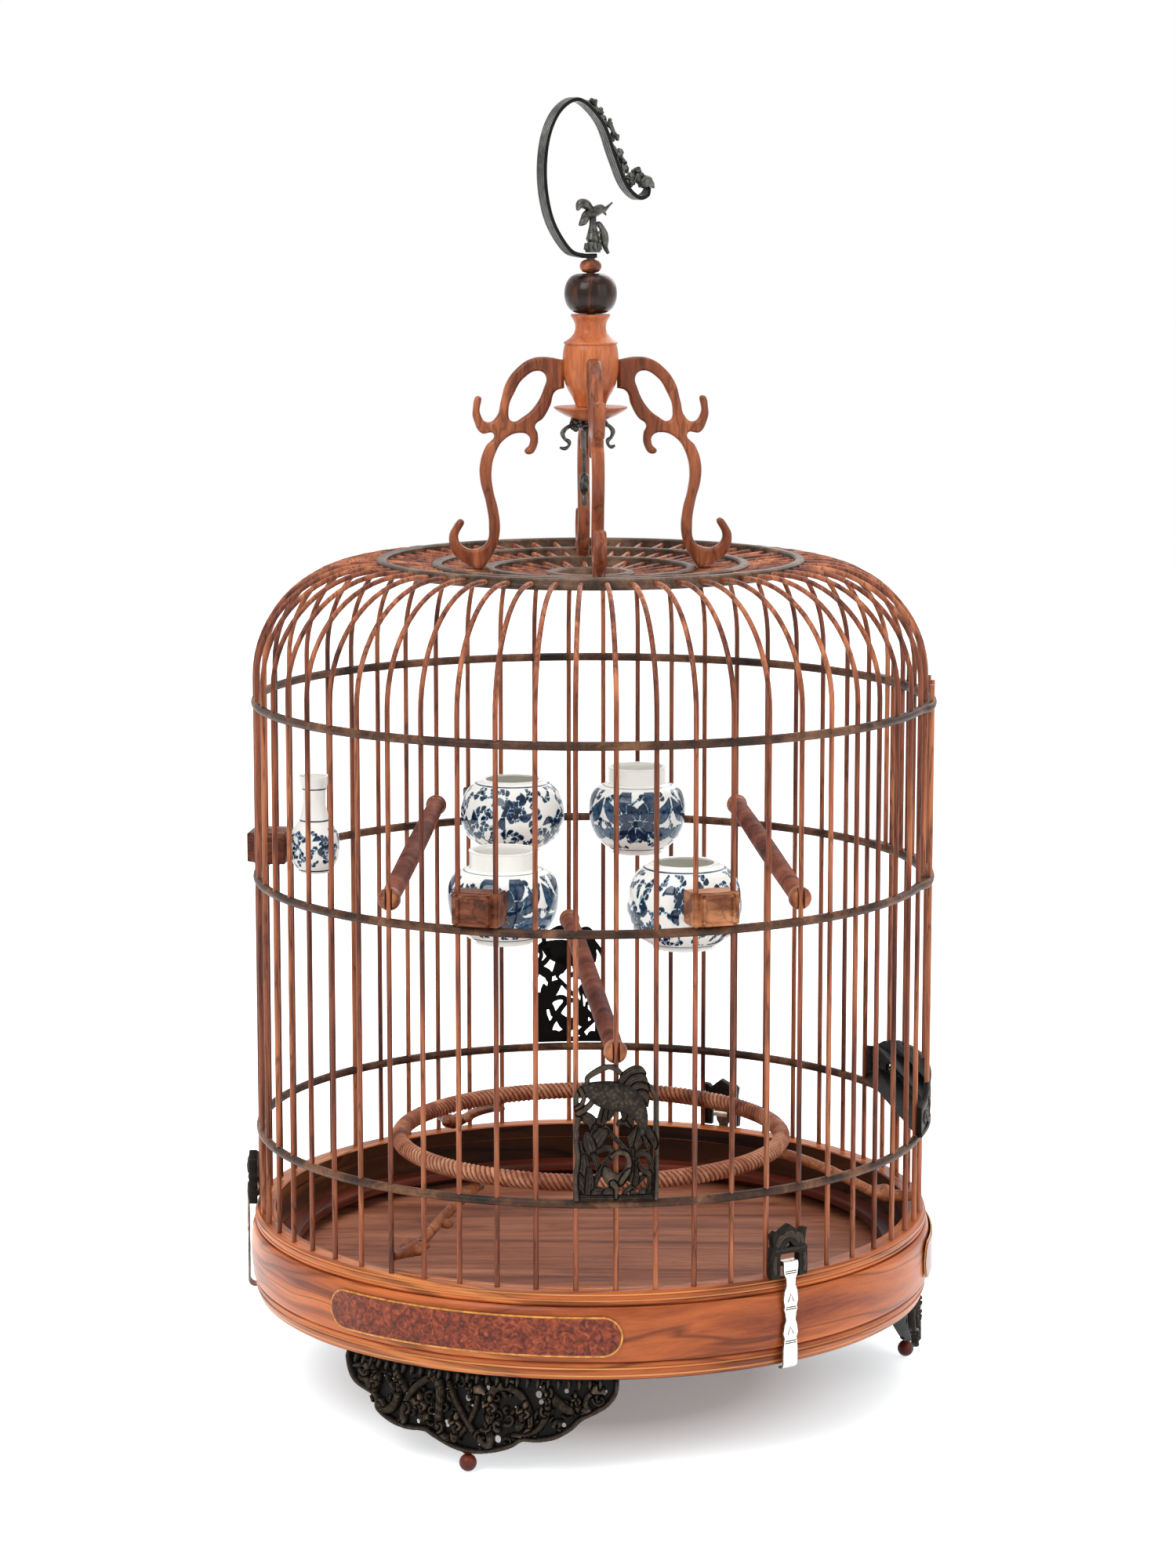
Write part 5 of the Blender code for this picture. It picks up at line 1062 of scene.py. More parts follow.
def pot_strokes(form, around, seed, middle, reach):
    """The painting of one pot on its unrolled side: around wide, reach to both sides of the middle line."""
    random.seed(seed)
    made = []
    rows = 3
    count, size = {"jar": (12, 0.0078), "bowl": (15, 0.0084), "bottle": (7, 0.0062)}[form]
    for row in range(rows):
        v = middle + reach * (2.0 * (row + 0.5) / rows - 1.0)
        for index in range(count):
            u = around * (index + 0.5 * (row % 2) + random.uniform(-0.15, 0.15)) / count
            turn = random.uniform(0.0, 6.28)
            made += spray(u, v, turn, size, random.choice((-2.2, 2.2)), 6)
            made += spray(u, v, turn + 3.1, size * 0.8, random.choice((-2.2, 2.2)), 5)
    if form == "jar":
        for index in range(4):
            u = around * index / 4
            for hand in (-1.0, 1.0):
                for lift in (-0.9, -0.1, 0.8):
                    made += leaf(u + hand * 0.005, middle + 0.25 * reach * lift, pi / 2 - hand * (1.35 - lift),
                                 0.0185, hand * 0.6, 0.19, 0.68 + 0.1 * lift, True)
            made += blossom(u, middle - 0.05 * reach, 0.0112, 8, 0.35, 0.8)
        return made
    count = 3 if form == "bottle" else 6
    for index in range(count):
        u = around * (index + 0.5) / count
        v = middle + reach * 0.3 * (-1.0) ** index
        made += blossom(u, v, reach * 0.32, 7, 0.2 * index, 0.84)
        for turn in (0.5, 2.4, 3.9, 5.6):
            dx, dz = heading(turn, reach * 0.3)
            made += leaf(u + dx, v + dz, turn, reach * 0.4, 0.9, 0.24, 0.8, True)
    return made


def stroke(xs, zs, start, end):
    """A tapering stroke's half width beside each point, and how far the point lies off it, also with its side."""
    (xa, za, wa), (xb, zb, wb) = start, end
    run = max(hypot(xb - xa, zb - za), 1e-9)
    dx, dz, ux, uz = xs - xa, zs - za, (xb - xa) / run, (zb - za) / run
    along = np.clip(dx * ux + dz * uz, 0.0, run)
    return wa + (wb - wa) * along / run, np.hypot(dx - along * ux, dz - along * uz), dx * uz - dz * ux


def paint_sheet(us, vs, strokes, around):
    """How much blue each point of the unrolled side carries."""
    paint = np.zeros((len(us), len(vs)))
    for points, tone, gap in strokes:
        path = smooth_route(points, 4)
        reach = max(w for _, _, w in path) + gap + 0.0003
        low, high = min(p[1] for p in path) - reach, max(p[1] for p in path) + reach
        rows = slice(*np.searchsorted(vs, (low, high)))
        for shift in (-around, 0.0, around):
            left, right = (edge(p[0] for p in path) + shift for edge in (min, max))
            columns = slice(*np.searchsorted(us, (left - reach, right + reach)))
            x, z = np.meshgrid(us[columns] - shift, vs[rows], indexing="ij")
            if not x.size:
                continue
            near = np.full(x.shape, -1.0)
            for start, end in zip(path, path[1:]):
                half, off, _ = stroke(x, z, start, end)
                near = np.maximum(near, half - off)
            ink, clear = (np.clip((near + more) / INK_EDGE + 0.5, 0.0, 1.0) for more in (0.0, gap))
            paint[columns, rows] = paint[columns, rows] * (1.0 - clear) + tone * ink
    return paint


MOAT = 0.00045
THINNEST = 0.0002
CUT_DEPTH = 0.34


def relief(name, corners, cell, routes, deep, place, material, ground=None, steps=6, floor=0.3):
    """Openwork carving as a height field.

    Each route is (points of (across, up, half width), lift, number of cut lines). A later route lies over an
    earlier one, with a narrow moat round it. place maps (across, up, out) to the scene.
    """
    (x0, z0), (x1, z1) = corners
    xs, zs = np.meshgrid(np.arange(x0, x1, cell), np.arange(z0, z1, cell), indexing="ij")
    cover, high = ground(xs, zs) if ground else (np.full(xs.shape, -0.01), np.zeros(xs.shape))
    for points, lift, cuts in routes:
        path = smooth_route(points, steps)
        mine, level = np.full(xs.shape, -0.01), np.zeros(xs.shape)
        for start, end in zip(path, path[1:]):
            reach = max(start[2], end[2]) + 0.0015
            part = tuple(slice(max(int((min(a, b) - reach - edge) / cell), 0),
                               max(int((max(a, b) + reach + 2 * cell - edge) / cell), 0))
                         for a, b, edge in zip(start, end, corners[0]))
            half, off, side = stroke(xs[part], zs[part], start, end)
            half = np.maximum(half, THINNEST)
            side = side / half
            dome = np.sqrt(np.clip(1.0 - (off / half) ** 2, 0.0, 1.0))
            line = CUT_DEPTH * np.abs(np.sin(pi * 0.5 * cuts * (side + 1.0))) if cuts else 0.0
            shape = lift * (0.55 + 0.45 * dome) * (1.0 - (CUT_DEPTH - line if cuts else 0.0))
            level[part] = np.maximum(level[part], np.where(off < half, shape, 0.0))
            mine[part] = np.maximum(mine[part], half - off)
        moat = (mine <= 0.0) & (mine > -MOAT)
        high = np.where(mine > 0.0, level, np.where(moat, np.minimum(high, 0.35 * lift), high))
        cover = np.maximum(cover, mine)
    inside = cover > 0.0
    moved_x, moved_z = np.zeros(xs.shape), np.zeros(xs.shape)
    count = np.zeros(xs.shape)
    for a, b in ((1, 0), (-1, 0), (0, 1), (0, -1), (1, 1), (1, -1), (-1, 1), (-1, -1)):
        other = np.roll(np.roll(cover, -a, 0), -b, 1)
        hit = ~inside & (other > 0.0)
        share = np.where(hit, other / np.maximum(other - cover, 1e-9), 0.0)
        moved_x += np.where(hit, a * cell * (1.0 - share), 0.0)
        moved_z += np.where(hit, b * cell * (1.0 - share), 0.0)
        count += hit
    edge = ~inside & (count > 0)
    xs = xs + np.where(edge, moved_x / np.maximum(count, 1), 0.0)
    zs = zs + np.where(edge, moved_z / np.maximum(count, 1), 0.0)
    high = np.where(edge, floor, np.maximum(high, floor))
    kept = inside[:-1, :-1] | inside[1:, :-1] | inside[:-1, 1:] | inside[1:, 1:]
    used = inside | edge
    number = np.cumsum(used).reshape(used.shape) - 1
    total = int(used.sum())
    points = list(zip(xs[used], zs[used], high[used]))
    places = [place(x, z, deep * h) for x, z, h in points] + [place(x, z, 0.0) for x, z, _ in points]
    faces = []
    walls = {}
    for i, j in zip(*np.nonzero(kept)):
        corner = [int(number[i, j]), int(number[i + 1, j]), int(number[i + 1, j + 1]), int(number[i, j + 1])]
        faces.append(corner)
        faces.append([total + c for c in reversed(corner)])
        for c in range(4):
            pair = (corner[c], corner[(c + 1) % 4])
            if walls.pop(pair[::-1], None) is None:
                walls[pair] = True
    faces += [[a, total + a, total + b, b] for a, b in walls]
    mesh = bpy.data.meshes.new(name)
    mesh.from_pydata(places, [], faces)
    # The carve attribute holds each point's height for the carved material's painted shade; the back face gets 0.1,
    # painted as near-black shade.
    carve = mesh.attributes.new("carve", "FLOAT", "POINT")
    carve.data.foreach_set("value", [h for _, _, h in points] + [0.1] * total)
    mesh.materials.append(material)
    return bpy.data.objects.new(name, mesh)


def mm(*routes, flip=1.0, swell=1.0, lift=1.0, cuts=0):
    """Given routes in millimetres, turned to metres, with their lift and cut lines."""
    return [([(flip * x / 1000, z / 1000, swell * half / 1000) for x, z, half in route], lift, cuts)
            for route in routes]


PLATE_BORDER = (
    ((-18.2, 0.3, 1), (-18.6, 10, 0.8), (-17.6, 20, 0.9), (-18.6, 31, 0.8), (-17.4, 38, 1), (-18.4, 47, 0.9),
    (-16, 51.5, 1), (-13.4, 54, 0.9), (-13, 57, 0.9), (-8, 60.4, 1.1), (-3.5, 62, 1), (0.2, 60.6, 0.9),
    (2.6, 58, 0.7)), ((18.2, 0.3, 0.8), (18.7, 12, 0.7), (18.6, 24, 0.8), (18.5, 36, 0.9), (18.6, 45, 0.8),
    (16.6, 50, 0.8), (13.5, 54.5, 0.7)), ((-16.2, 51.4, 0.9), (-14.8, 47.5, 0.8), (-16, 44.4, 0.8),
    (-17.9, 42.8, 0.8)), ((-11.5, 50.6, 0.8), (-10.6, 47, 0.9), (-13, 43.4, 1), (-17.2, 40.6, 1)))
CARP = (
    ((-14.6, 53, 0.8), (-11.6, 51.6, 3), (-7, 49.6, 5.4), (-1.5, 48.4, 6.4), (3.5, 47.2, 6.2), (7.3, 44.6, 5.2),
    (10, 40.8, 3.9), (11.6, 37, 2.6), (11.8, 33.6, 1.8), (11.4, 31.4, 1.5)),)
FINS = (
    ((2.2, 55, 0.8), (5, 58, 1.4), (9.6, 60, 1.4), (12.6, 58.6, 0.7)), ((4.4, 53, 0.9), (7.4, 55.6, 1.3),
    (11.4, 56.6, 1.2), (13.6, 54, 0.6)), ((6.8, 50.6, 0.9), (9.8, 52.6, 1.2), (13, 52, 1), (14, 48.2, 0.5)),
    ((9, 48.2, 0.9), (11.4, 49.4, 1.1), (13.6, 47.6, 0.9), (14, 43.6, 0.4)), ((-5.2, 44.6, 0.9), (-6, 40.2, 1.2),
    (-8.4, 36.4, 0.5)), ((-3.6, 44.4, 0.8), (-4.2, 40, 1.1), (-6.4, 35.4, 0.4)), ((-2, 44.2, 0.7), (-2.2, 41, 0.9),
    (-3.4, 37.4, 0.3)), ((5.2, 42.4, 0.8), (6.2, 38.4, 1), (7.6, 34.6, 0.3)), ((3, 42.8, 0.7), (3.4, 40, 0.8),
    (3.2, 37.4, 0.3)), ((11.4, 33.6, 0.9), (9.4, 30.6, 1.2), (7.2, 28.4, 1.1), (6.4, 25.4, 0.4)), ((11.6, 33.6, 0.9),
    (11, 29.4, 1.2), (9.6, 26, 0.9), (9.2, 23.6, 0.3)), ((11.8, 33.8, 0.9), (13.6, 30, 1.2), (14.4, 26, 0.9),
    (14.6, 23.2, 0.3)), ((12, 34, 0.9), (15, 30.8, 1.1), (17, 27, 0.9), (17.8, 24.2, 0.3)))
PLANTS = (
    ((-6.4, 35.6, 0.3), (-4, 32.6, 0.6), (0.6, 27.4, 0.7), (5, 22.6, 0.5)), ((-16.6, 40.4, 0.8), (-13.6, 38.4, 1.6),
    (-11.2, 36.6, 1.5), (-11, 33.8, 0.8)), ((-9.8, 34.6, 0.6), (-10.4, 30, 0.7), (-8.8, 26.6, 0.9),
    (-9.4, 22.4, 0.9)), ((-4.6, 32.4, 0.6), (-7.2, 30.4, 1.8), (-9.2, 27.2, 1.9), (-9.8, 24.4, 0.6)),
    ((0.6, 35.2, 0.5), (3.4, 36.8, 1), (6.2, 35, 0.9)), ((-18, 26.6, 0.5), (-15.2, 23.4, 2), (-12.4, 21, 2.1),
    (-10.2, 20, 0.8)), ((-13.4, 30.8, 0.5), (-12.6, 27, 1.7), (-11.4, 23.2, 1.6), (-10.4, 20.4, 0.7)),
    ((-10.4, 21, 0.8), (-9, 17.6, 1), (-8.6, 14.8, 0.8)), ((-8.6, 22.6, 0.6), (-5.4, 24, 0.8), (-2.4, 23.6, 0.8),
    (-2, 21, 0.8), (-4.6, 17.4, 0.9), (-6.8, 13.6, 1), (-9.4, 8.8, 0.8), (-10.4, 2, 0.4)), ((-14.6, 19.6, 1.2),
    (-14.4, 14.8, 1.7), (-15.4, 10, 1.8), (-15, 5, 1.6), (-12.4, 1, 1)), ((-18, 13.2, 0.5), (-16.2, 8.8, 1.4),
    (-13.6, 4.4, 1.5), (-12, 1, 0.9)), ((-12.6, 14.6, 0.6), (-12, 9.8, 1.2), (-12.4, 4.6, 1.2), (-12.6, 1.2, 0.7)),
    ((-9.6, 3.2, 1.2), (-7.6, 3.6, 1.6), (-5.4, 2.6, 1.2)), ((-4.8, 2.8, 1.2), (-2.6, 3.8, 1.6), (-0.6, 2.6, 1)),
    ((3, 1.2, 0.6), (4.4, 4, 0.8), (6.6, 5.4, 0.9), (9.4, 8, 0.9), (12.6, 10.6, 0.7)), ((6.6, 1, 0.5),
    (7.6, 3.6, 0.8), (9.4, 1.2, 0.5)), ((10.8, 0.8, 0.6), (12.4, 3.4, 1.3), (15.4, 2.4, 1)), ((7, 26.4, 0.3),
    (7, 20, 0.6), (7.6, 14, 0.8), (6.6, 9.4, 0.9)), ((9.6, 20.6, 0.4), (9.4, 16, 0.7), (9.2, 11, 0.8),
    (8.6, 7.6, 0.8)), ((9.8, 20.4, 0.6), (12, 21.6, 0.9), (14.6, 20, 0.9), (16.2, 15.4, 0.9), (17, 9, 0.8),
    (16.2, 2.4, 0.7)), ((10.4, 16.4, 0.5), (12.4, 13.4, 0.9), (15, 11.8, 0.8), (15.2, 6, 0.7), (14.6, 2, 0.6)),
    ((-17.6, 1, 0.9), (-9, 0.9, 0.9), (0, 1, 0.9), (9, 0.9, 0.9), (18, 1, 0.9)))
CRANE = (
    ((-2.2, 20.4, 0.7), (1, 22.2, 0.9), (4.4, 21.4, 0.9), (5.8, 17.4, 0.9), (4.6, 12.6, 1.2), (1.8, 9.6, 2.2),
    (-1, 9.2, 2.6), (-3.8, 11.6, 2), (-5.2, 14.8, 0.8)), ((-1.6, 8, 1.2), (0, 5.4, 0.9), (-0.2, 1.2, 0.5)),
    ((2, 8.4, 0.9), (4, 11.6, 1), (6, 14.2, 0.6)))


def build_plate(look, node, middle, flip):
    """Openwork plate: a carp over lotus leaves, reeds and a crane, inside an uneven branch border."""
    low = span(node)[0]
    ground, gauge, cell = 0.1645, 0.1657, 0.00028

    def on_plate(x, z, out):
        return polar(ground + out, middle + degrees(x / gauge), low + z)

    border = mm(*PLATE_BORDER, flip=flip, swell=1.35, lift=0.85)
    fish = mm(*CARP, flip=flip, swell=1.05)
    fins = mm(*FINS, flip=flip, swell=1.75, lift=0.8, cuts=4)
    plants = mm(*PLANTS, flip=flip, swell=1.6, lift=0.75, cuts=3)
    crane = mm(*CRANE, flip=flip, swell=1.35, lift=0.9)
    sheet = ((-0.0196, -0.0002), (0.0196, 0.0632))
    settle(relief(node + "_openwork", sheet, cell, plants + border + fins + crane, 0.0026, on_plate,
                  look["carved"]), "cage", [node], 50)
    settle(relief(node + "_carp", sheet, cell, fish, 0.003, on_plate, look["carved_scaly"]), "cage",
           [node], 50)
    eye = on_plate(flip * -0.008, 0.0506, 0.0021)
    settle(pearls(node + "_eye", [(eye, 0.0007)], look["carved"]), "cage", [node], 80)


def build_door(look):
    """The arched carved plate and the six round bars that slide in the hoops."""
    low, high = span("sliding_door")
    middle = bar_degrees(14.5)
    radius = 0.1662
    half = radians(24.5) * radius
    arch = ((0, 25.8), (0.22, 25.7), (0.52, 24.6), (0.72, 21.4), (0.86, 16.6), (0.95, 15.6), (1, 15))

    def on_door(x, z, out):
        return polar(radius + out, middle + degrees(x / radius), low + z)

    def on_front(x, z, out):
        return on_door(x, z, out + 0.0004)

    def top(x):
        return float(np.interp(abs(x) / half, [share for share, _ in arch], [z / 1000 for _, z in arch]))

    across = [-half + 2 * half * i / 96 for i in range(97)]
    outline = [(x, 0.0002) for x in across] + [(-x, top(x)) for x in across]
    holes = []
    for height, wide, tall, places in (
            (0.0205, 0.0021, 0.0019, (-26, -19, -12, -5, 2, 9, 16, 23)),
            (0.015, 0.0026, 0.0018, (-50, -40, -30, -22, -15, -8, -1, 6, 13, 20, 28, 38, 48)),
            (0.0085, 0.003, 0.0021, (-57, -45, -35, -26, -18, 18, 26, 35, 45, 57))):
        for x in places:
            if top(abs(x / 1000) + wide) - height - tall > 0.0008:
                holes.append([(x / 1000 + wide * a, height + tall * b)
                              for a, b in ((-1, -0.5), (-0.3, -1), (1, -0.7), (0.8, 0.8), (-0.7, 1))])
    plate = plate_solid("door_plate", outline, holes, 0.0022, on_door, look["carved"], 0.0003)
    settle(plate, "door", ["sliding_door"])
    routes = []
    for side in (-1, 1):
        routes += mm(
            ((2, 4, 0.9), (8, 7, 1.6), (14, 12, 1.8), (20, 15, 1.6), (26, 12, 1.3), (24, 8, 1), (20, 9, 0.7)),
            ((8, 3, 0.6), (16, 5, 1.2), (24, 4, 1.5), (32, 8, 1.7), (40, 11, 1.4), (46, 8, 1), (43, 5, 0.7)),
            ((34, 3, 0.6), (44, 3, 1.1), (54, 6, 1.3), (62, 11, 1.1), (66, 8, 0.8), (62, 5, 0.6)),
            ((1, 22, 0.7), (8, 20, 1.2), (14, 21, 1), (22, 20, 0.8)), ((30, 17, 0.6), (38, 15, 1), (48, 13, 0.9)),
            flip=side, cuts=2)
    for side in (-1, 1):
        steps = [half * i / 24 for i in range(25)]
        routes += [([(side * x, top(x) - 0.0009, 0.0008) for x in steps], 1.0, 0),
                   ([(side * x, 0.0012, 0.001) for x in steps], 1.0, 0)]
    front = relief("door_relief", ((-half - 0.001, 0.0), (half + 0.001, 0.0262)), 0.0004, routes, 0.0014, on_front,
                   look["carved"], None, 3)
    settle(front, "door", ["sliding_door"], 50.0)
    routes = []
    for number in DOOR_BARS:
        start = low + top(radians(bar_degrees(number) - middle) * radius) - 0.005
        routes.append([polar(DOOR_BAR_CIRCLE, bar_degrees(number), z) for z in (start, (start + high) / 2, high)])
    settle(rods("door_bars", routes, 0.00118, look["bar"]), "door", ["sliding_door"])


def build_holder(look, name, number, depth):
    """A block whose outer face is a framed, sunken panel."""
    low, high = span(name)
    outer, half = 0.1695, 0.0113
    reach, corner = outer - 0.0014, half * 0.46
    shape = bmesh.new()

    def block(x0, x1, y0, y1, z0, z1, bevel):
        verts = bmesh.ops.create_cube(shape, size=1.0)["verts"]
        for vertex in verts:
            vertex.co = Vector([(a + b) / 2 + (b - a) * v for (a, b), v in zip(((x0, x1), (y0, y1), (z0, z1)),
                                                                              vertex.co)])
        edges = list({edge for vertex in verts for edge in vertex.link_edges})
        bmesh.ops.bevel(shape, geom=edges, offset=bevel, segments=2, affect="EDGES")

    block(BAR_CIRCLE - BAR_GAP - depth, BAR_CIRCLE + 0.0026, -half, half, low, high, 0.0006)
    block(BAR_CIRCLE, reach, -corner - 0.003, corner + 0.003, low + 0.0004, high - 0.0004, 0.0004)
    for y in (-corner - 0.0028, corner + 0.0012):
        block(reach - 0.001, outer - 0.0004, y, y + 0.0016, low + 0.0006, high - 0.0006, 0.0003)
    for z in (low + 0.0006, high - 0.0022):
        block(reach - 0.001, outer - 0.0004, -corner - 0.0028, corner + 0.0028, z, z + 0.0016, 0.0003)
    turn = Matrix.Rotation(radians(bar_degrees(number) - 90.0), 4, "Z")
    bmesh.ops.transform(shape, matrix=turn, verts=shape.verts)
    tone = look["pale_holder" if "right" in name else "holder"]
    settle(from_bmesh(name + "_block", shape, tone), "cage", [name], 30.0)
POTS = {
    # The outline in shares of radius and height, the painted belly's two heights, then line heights and widths.
    "bowl": (((0.5, 0), (0.55, 0), (0.57, 0.03), (0.62, 0.05), (0.78, 0.13), (0.9, 0.24), (0.975, 0.38),
              (0.995, 0.5), (0.975, 0.63), (0.92, 0.76), (0.84, 0.86), (0.74, 0.925), (0.66, 0.96), (0.6, 0.975),
              (0.59, 0.99), (0.58, 1)), (0.1, 0.93), ((0.07, 0.0003), (0.945, 0.0004))),
    "jar": (((0.5, 0), (0.55, 0), (0.58, 0.03), (0.66, 0.07), (0.84, 0.17), (0.95, 0.3), (0.99, 0.42), (1, 0.53),
             (0.975, 0.63), (0.91, 0.715), (0.8, 0.765), (0.68, 0.79), (0.62, 0.805), (0.605, 0.83), (0.605, 0.97),
             (0.615, 0.99), (0.61, 1)), (0.1, 0.76), ((0.07, 0.0003), (0.785, 0.0003))),
    "bottle": (((0.56, 0), (0.62, 0), (0.68, 0.02), (0.82, 0.07), (0.95, 0.15), (1, 0.25), (0.98, 0.34),
                (0.9, 0.42), (0.76, 0.48), (0.62, 0.525), (0.6, 0.535), (0.595, 0.545), (0.52, 0.62),
                (0.465, 0.7), (0.45, 0.77), (0.475, 0.845), (0.485, 0.86), (0.495, 0.87), (0.55, 0.93),
                (0.6, 0.985), (0.6, 1)), (0.06, 0.47), ((0.03, 0.0004), (0.54, 0.0003), (0.865, 0.0003))),
}


def build_pot(look, name, number, diameter, low, high, depth, form, seed):
    """A thrown pot: foot ring, belly, shoulder or neck, a glazed inside and a brush painting on its belly."""
    wall, sides = (0.0014, 220) if form == "bottle" else (0.002, 400)
    shares, belly, lines = POTS[form]
    radius = diameter / 2 - 0.0001
    tall = high - low
    outer = smooth_route([(radius * r, low + tall * z) for r, z in shares], 8)
    inner = [(max(r - wall, 0.001), max(z - 0.0002, low + wall * 1.6)) for r, z in reversed(outer[24::3])]
    profile = [(0.0001, low + 0.0008), (outer[0][0] - 0.001, low + 0.0008), *outer, *inner, (0.0001, low + wall * 1.6)]
    around = 2.0 * pi * radius
    lengths = measured(outer)
    rise = np.array([(z - low) / tall for _, z in outer])
    start, end = np.interp(belly, rise, lengths)
    us = np.arange(sides) * around / sides
    paint = paint_sheet(us, lengths, pot_strokes(form, around, seed, (start + end) / 2, (end - start) / 2), around)
    paint *= ((lengths > start) & (lengths < end))[None, :]
    for share, half in lines:
        off = np.abs(lengths - np.interp(share, rise, lengths))
        paint = np.maximum(paint, np.clip((half - off) / 0.0002 + 0.5, 0.0, 0.85)[None, :])
    centre = polar(BAR_CIRCLE - BAR_GAP - depth - 0.0003 - diameter / 2, bar_degrees(number), 0.0)
    places, ink = [], []
    for row, (r, z) in enumerate(profile):
        places += [(centre.x + r * cos(a), centre.y + r * sin(a), z) for a in us / radius]
        ink += list(paint[:, row - 2]) if 2 <= row < len(outer) + 2 else [0.0] * sides
    faces = []
    for row in range(len(profile) - 1):
        for i in range(sides):
            a, b = row * sides + i, row * sides + (i + 1) % sides
            faces.append((a, b, b + sides, a + sides))
    faces += [tuple(reversed(range(sides))), tuple(range(len(places) - sides, len(places)))]
    mesh = bpy.data.meshes.new(name)
    mesh.from_pydata(places, [], faces)
    mesh.attributes.new("paint", "FLOAT", "POINT").data.foreach_set("value", ink)
    mesh.materials.append(look["porcelain"])
    settle(bpy.data.objects.new(name + "_glazed", mesh), "cage", [name], 60.0)


def build_perch(look, node, body, first, last):
    """A straight perch cut with fine rings, and a bulb at each end split by the slot for its bar."""
    height = sum(span(node)) / 2
    start, end = (polar(BAR_CIRCLE, bar_degrees(number), height) for number in (first, last))
    along = (end - start).normalized()
    across = along.cross(UP).normalized()
    body_start = 0.0098
    length = (end - start).length - 2 * body_start
    shape = bmesh.new()
    carve = shape.verts.layers.float.new("carve")
    pitch = 0.0013
    rows, sides = int(length / pitch) * 6, 28
    loops = []
    for row in range(rows + 1):
        share = row / rows
        x = body_start + length * share
        taper = 0.0042 + 0.00055 * sin(pi * share) ** 0.8
        loop = []
        for side in range(sides):
            turn = 2 * pi * side / sides
            tilt = 1.1 * sin(turn) + 0.5 * sin(2 * turn + share * 9.0)
            ridge = abs(sin(pi * (x / pitch + tilt * 0.55)))
            r = taper + 0.00038 * ridge ** 0.7 - 0.00026
            loop.append(shape.verts.new(start + along * x + across * (r * cos(turn))
                                        + UP * (r * sin(turn))))
            # The ridge height, low in the grooves, drives the wood's painted shade there.
            loop[-1][carve] = ridge
        loops.append(loop)
    skin(shape, loops)
    settle(from_bmesh(node + "_ringed", shape, look["perch"]), body, [node], 60.0)
    knob = bmesh.new()
    for origin, direction in ((start, along), (end, -along)):
        side_axis = direction.cross(UP).normalized()
        for lobe in (0, -1, 1):
            add_lobe(knob, origin, direction, side_axis, lobe)
    settle(from_bmesh(node + "_bulbs", knob, look["perch_end"]), body, [node], 50.0)
BULB = ((10, 0.1), (10, 4), (9.2, 4.7), (8, 4.8), (6.8, 4.5), (5.6, 4.6), (5, 5.3), (3.6, 5.45), (2, 5.2), (2, 0.1))
CHEEK = ((2.1, 0.1), (2, 5.2), (0.6, 4.9), (-0.6, 4.2), (-1.4, 3.2), (-1.9, 1.6), (-2.1, 0.1))


def add_lobe(knob, origin, direction, side_axis, lobe):
    """The bulb itself, or one of the two cheeks beside its bar's slot."""
    part = bmesh.new()
    sides = 32
    turns = [2 * pi * i / sides for i in range(sides)]
    skin(part, [[part.verts.new(origin + direction * (x / 1000) + side_axis * (r / 1000 * cos(t))
                                + UP * (r / 1000 * sin(t))) for t in turns]
                for x, r in (CHEEK if lobe else BULB)])
    if lobe:
        made = bmesh.ops.bisect_plane(part, geom=part.verts[:] + part.edges[:] + part.faces[:],
                                      plane_co=origin + side_axis * (lobe * 0.0017), plane_no=side_axis * lobe,
                                      clear_inner=True)
        edges = [item for item in made["geom_cut"] if isinstance(item, bmesh.types.BMEdge)]
        bmesh.ops.edgeloop_fill(part, edges=edges)
    draft = bpy.data.meshes.new("draft")
    part.to_mesh(draft)
    part.free()
    knob.from_mesh(draft)
    bpy.data.meshes.remove(draft)
CLAMP_ARM = (
    ((92, 0, -6.6, 0.7), (99, 0, -6.8, 1), (120, 0, -14, 0.95), (140, 0, -23.5, 1), (145.5, 0, -24.7, 1.45),
     (151, 0, -25, 1.15), (161.4, 0, -25, 0.8)),
    ((139, 0, -23, 0.8), (146.2, -1.2, -24, 1.5), (141.5, -2.3, -23.2, 0.4)),
    ((139, 0, -23, 0.8), (146.2, 1.2, -24, 1.5), (141.5, 2.3, -23.2, 0.4)),
    ((125, 0, -16, 0.9), (123.2, 1.5, -17.6, 0.9), (120, 1.9, -17, 0.3)))


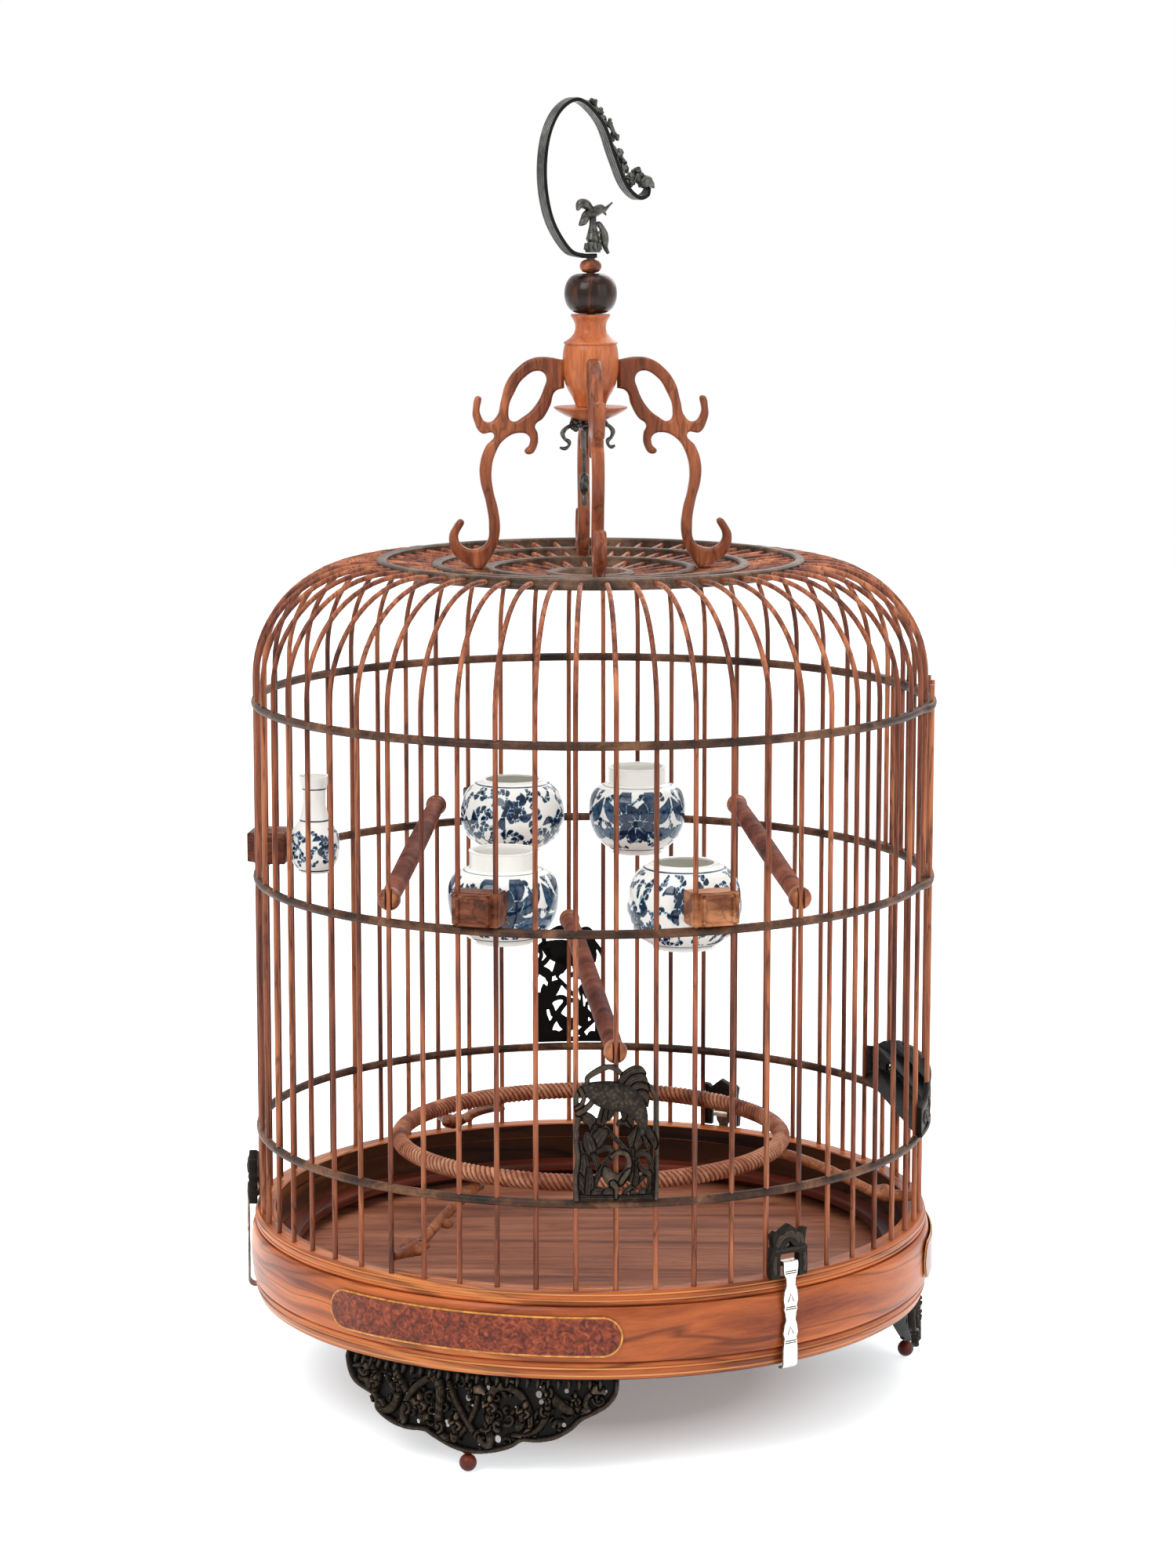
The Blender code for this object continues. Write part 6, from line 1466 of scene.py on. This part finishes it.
def build_ring_perch(look):
    """The round perch carved as a twisted rope, on three flat arms with leaf ends."""
    centre_radius, tube_radius = 0.0945, 0.0043
    height = sum(span("ring_perch")) / 2
    ridges, strands = 216, 5
    rows, sides = ridges * 7, 24
    shape = bmesh.new()
    carve = shape.verts.layers.float.new("carve")
    loops = []
    for row in range(rows):
        turn = 2 * pi * row / rows
        loop = []
        for side in range(sides):
            angle = 2 * pi * side / sides
            ridge = abs(sin((ridges * turn + strands * angle) / 2))
            r = tube_radius - 0.0009 + 0.0009 * ridge ** 0.8
            out = centre_radius + r * cos(angle)
            loop.append(shape.verts.new((out * cos(turn), out * sin(turn), height + r * sin(angle))))
            # The ridge height, low in the grooves, drives the wood's painted shade there.
            loop[-1][carve] = ridge
        loops.append(loop)
    skin(shape, loops, ring=True)
    settle(from_bmesh("rope_ring", shape, look["rope"]), "round_perch", ["ring_perch"], 70.0)
    for index, number in enumerate((-6, 12, -24)):
        azimuth = bar_degrees(number)
        node = f"perch_clamp_{index + 1}"

        def on_arm(radius, aside, z):
            return polar(radius, azimuth + 1000.0 * aside, height + z)

        arm = rods(node + "_arm", smooth_pairs(CLAMP_ARM, on_arm), 0.0026, look["perch_end"])
        settle(arm, "round_perch", [node])
LAMPS = (("key", (-0.9, -1.3, 1.6), 1.0, 19.0), ("fill", (1.4, -1.0, 0.9), 1.4, 8.0),
         ("rim", (0.6, 1.4, 1.3), 1.2, 9.0), ("top", (0.0, 0.0, 2.0), 1.4, 10.0))


def build_stage():
    """White surroundings, a soft key from the upper left and a floor that keeps the cage's shadow, with painted shade
    round the cage where its glow is dimmed.
    """
    world = bpy.data.worlds.new("white_room")
    room = Nodes(world)
    background = room.nodes["Background"]
    room.feed(background.inputs["Strength"], room.remap(room.seen(), 0.0, 1.0, 0.6, 1.0))
    room.feed(background.inputs["Color"], (1.0, 1.0, 1.0))
    bpy.context.scene.world = world
    bpy.ops.mesh.primitive_plane_add(size=8.0, location=(0.0, 0.0, -0.0003))
    floor = bpy.context.object
    floor.name = "floor"
    white = Finish("white_floor", 0.9)
    white.colour((0.92, 0.92, 0.92))
    away = white.make("ShaderNodeVectorMath", "Value", {"operation": "LENGTH"})
    white.feed(away.node.inputs[0], white.make("ShaderNodeTexCoord", "Object"))
    # The glow is dimmed near the cage's foot: painted shade round the base, beside the shadow the lamps cast.
    glow_with_painted_shade = white.make("ShaderNodeEmission", Color=(0.95, 1.0, 1.02), Strength=white.remap(away, 0.08, 0.2, 0.19, 0.94))
    plain = white.shader.outputs[0]
    lit = white.join("ShaderNodeAddShader", plain, glow_with_painted_shade)
    surface = white.join("ShaderNodeMixShader", white.seen(), plain, lit)
    white.feed(white.nodes["Material Output"].inputs["Surface"], surface)
    floor.data.materials.append(white.material)
    collection = bpy.context.scene.collection
    for name, place, size, power in LAMPS:
        data = bpy.data.lights.new(name, "AREA")
        data.energy = power
        data.size = size
        light = bpy.data.objects.new(name, data)
        light.location = place
        light.rotation_euler = (Vector((0, 0, 0.25)) - Vector(place)).to_track_quat("-Z", "Y").to_euler()
        collection.objects.link(light)
    data = bpy.data.cameras.new("camera")
    data.sensor_fit = "VERTICAL"
    data.sensor_height = 36.0
    data.lens = 90.505
    data.clip_end = 20.0
    camera = bpy.data.objects.new("camera", data)
    camera.location = (-0.00125, -1.903793, 0.5964)
    camera.rotation_euler = (radians(81.0852), 0.0, 0.0)
    collection.objects.link(camera)
    bpy.context.scene.camera = camera
    bpy.context.scene.view_settings.view_transform = "Standard"


def main():
    look = make_materials()
    for build in (build_grille, build_base, build_hub, build_arms, build_hook):
        build(look)
    for index in range(3):
        build_foot(look, index)
        build_clip(look, index, "clip_" + "abc"[index])
    build_plate(look, "front_plate", 4.03, 1.0)
    build_plate(look, "back_plate", 184.03, -1.0)
    build_door(look)
    for name, number, diameter, low, high, depth, form, seed in (
            ("front_left_jar", -3.5, 0.0516, 0.2434, 0.2863, 0.0085, "jar", 3),
            ("front_right_bowl", 2.5, 0.0541, 0.2405, 0.2801, 0.0085, "bowl", 8),
            ("back_left_bowl", -25.5, 0.0544, 0.2464, 0.2834, 0.0165, "bowl", 5),
            ("back_right_jar", 25.5, 0.0503, 0.2447, 0.2895, 0.02, "jar", 11),
            ("vase", -15.5, 0.025, 0.252, 0.3, 0.012, "bottle", 2)):
        build_pot(look, name, number, diameter, low, high, depth, form, seed)
        build_holder(look, name + "_holder", number, depth)
    build_perch(look, "perch_left", "left_perch", -24, -6)
    build_perch(look, "perch_right", "right_perch", 5, 23)
    build_perch(look, "perch_centre", "centre_perch", 0, 28)
    build_ring_perch(look)
    build_stage()


main()
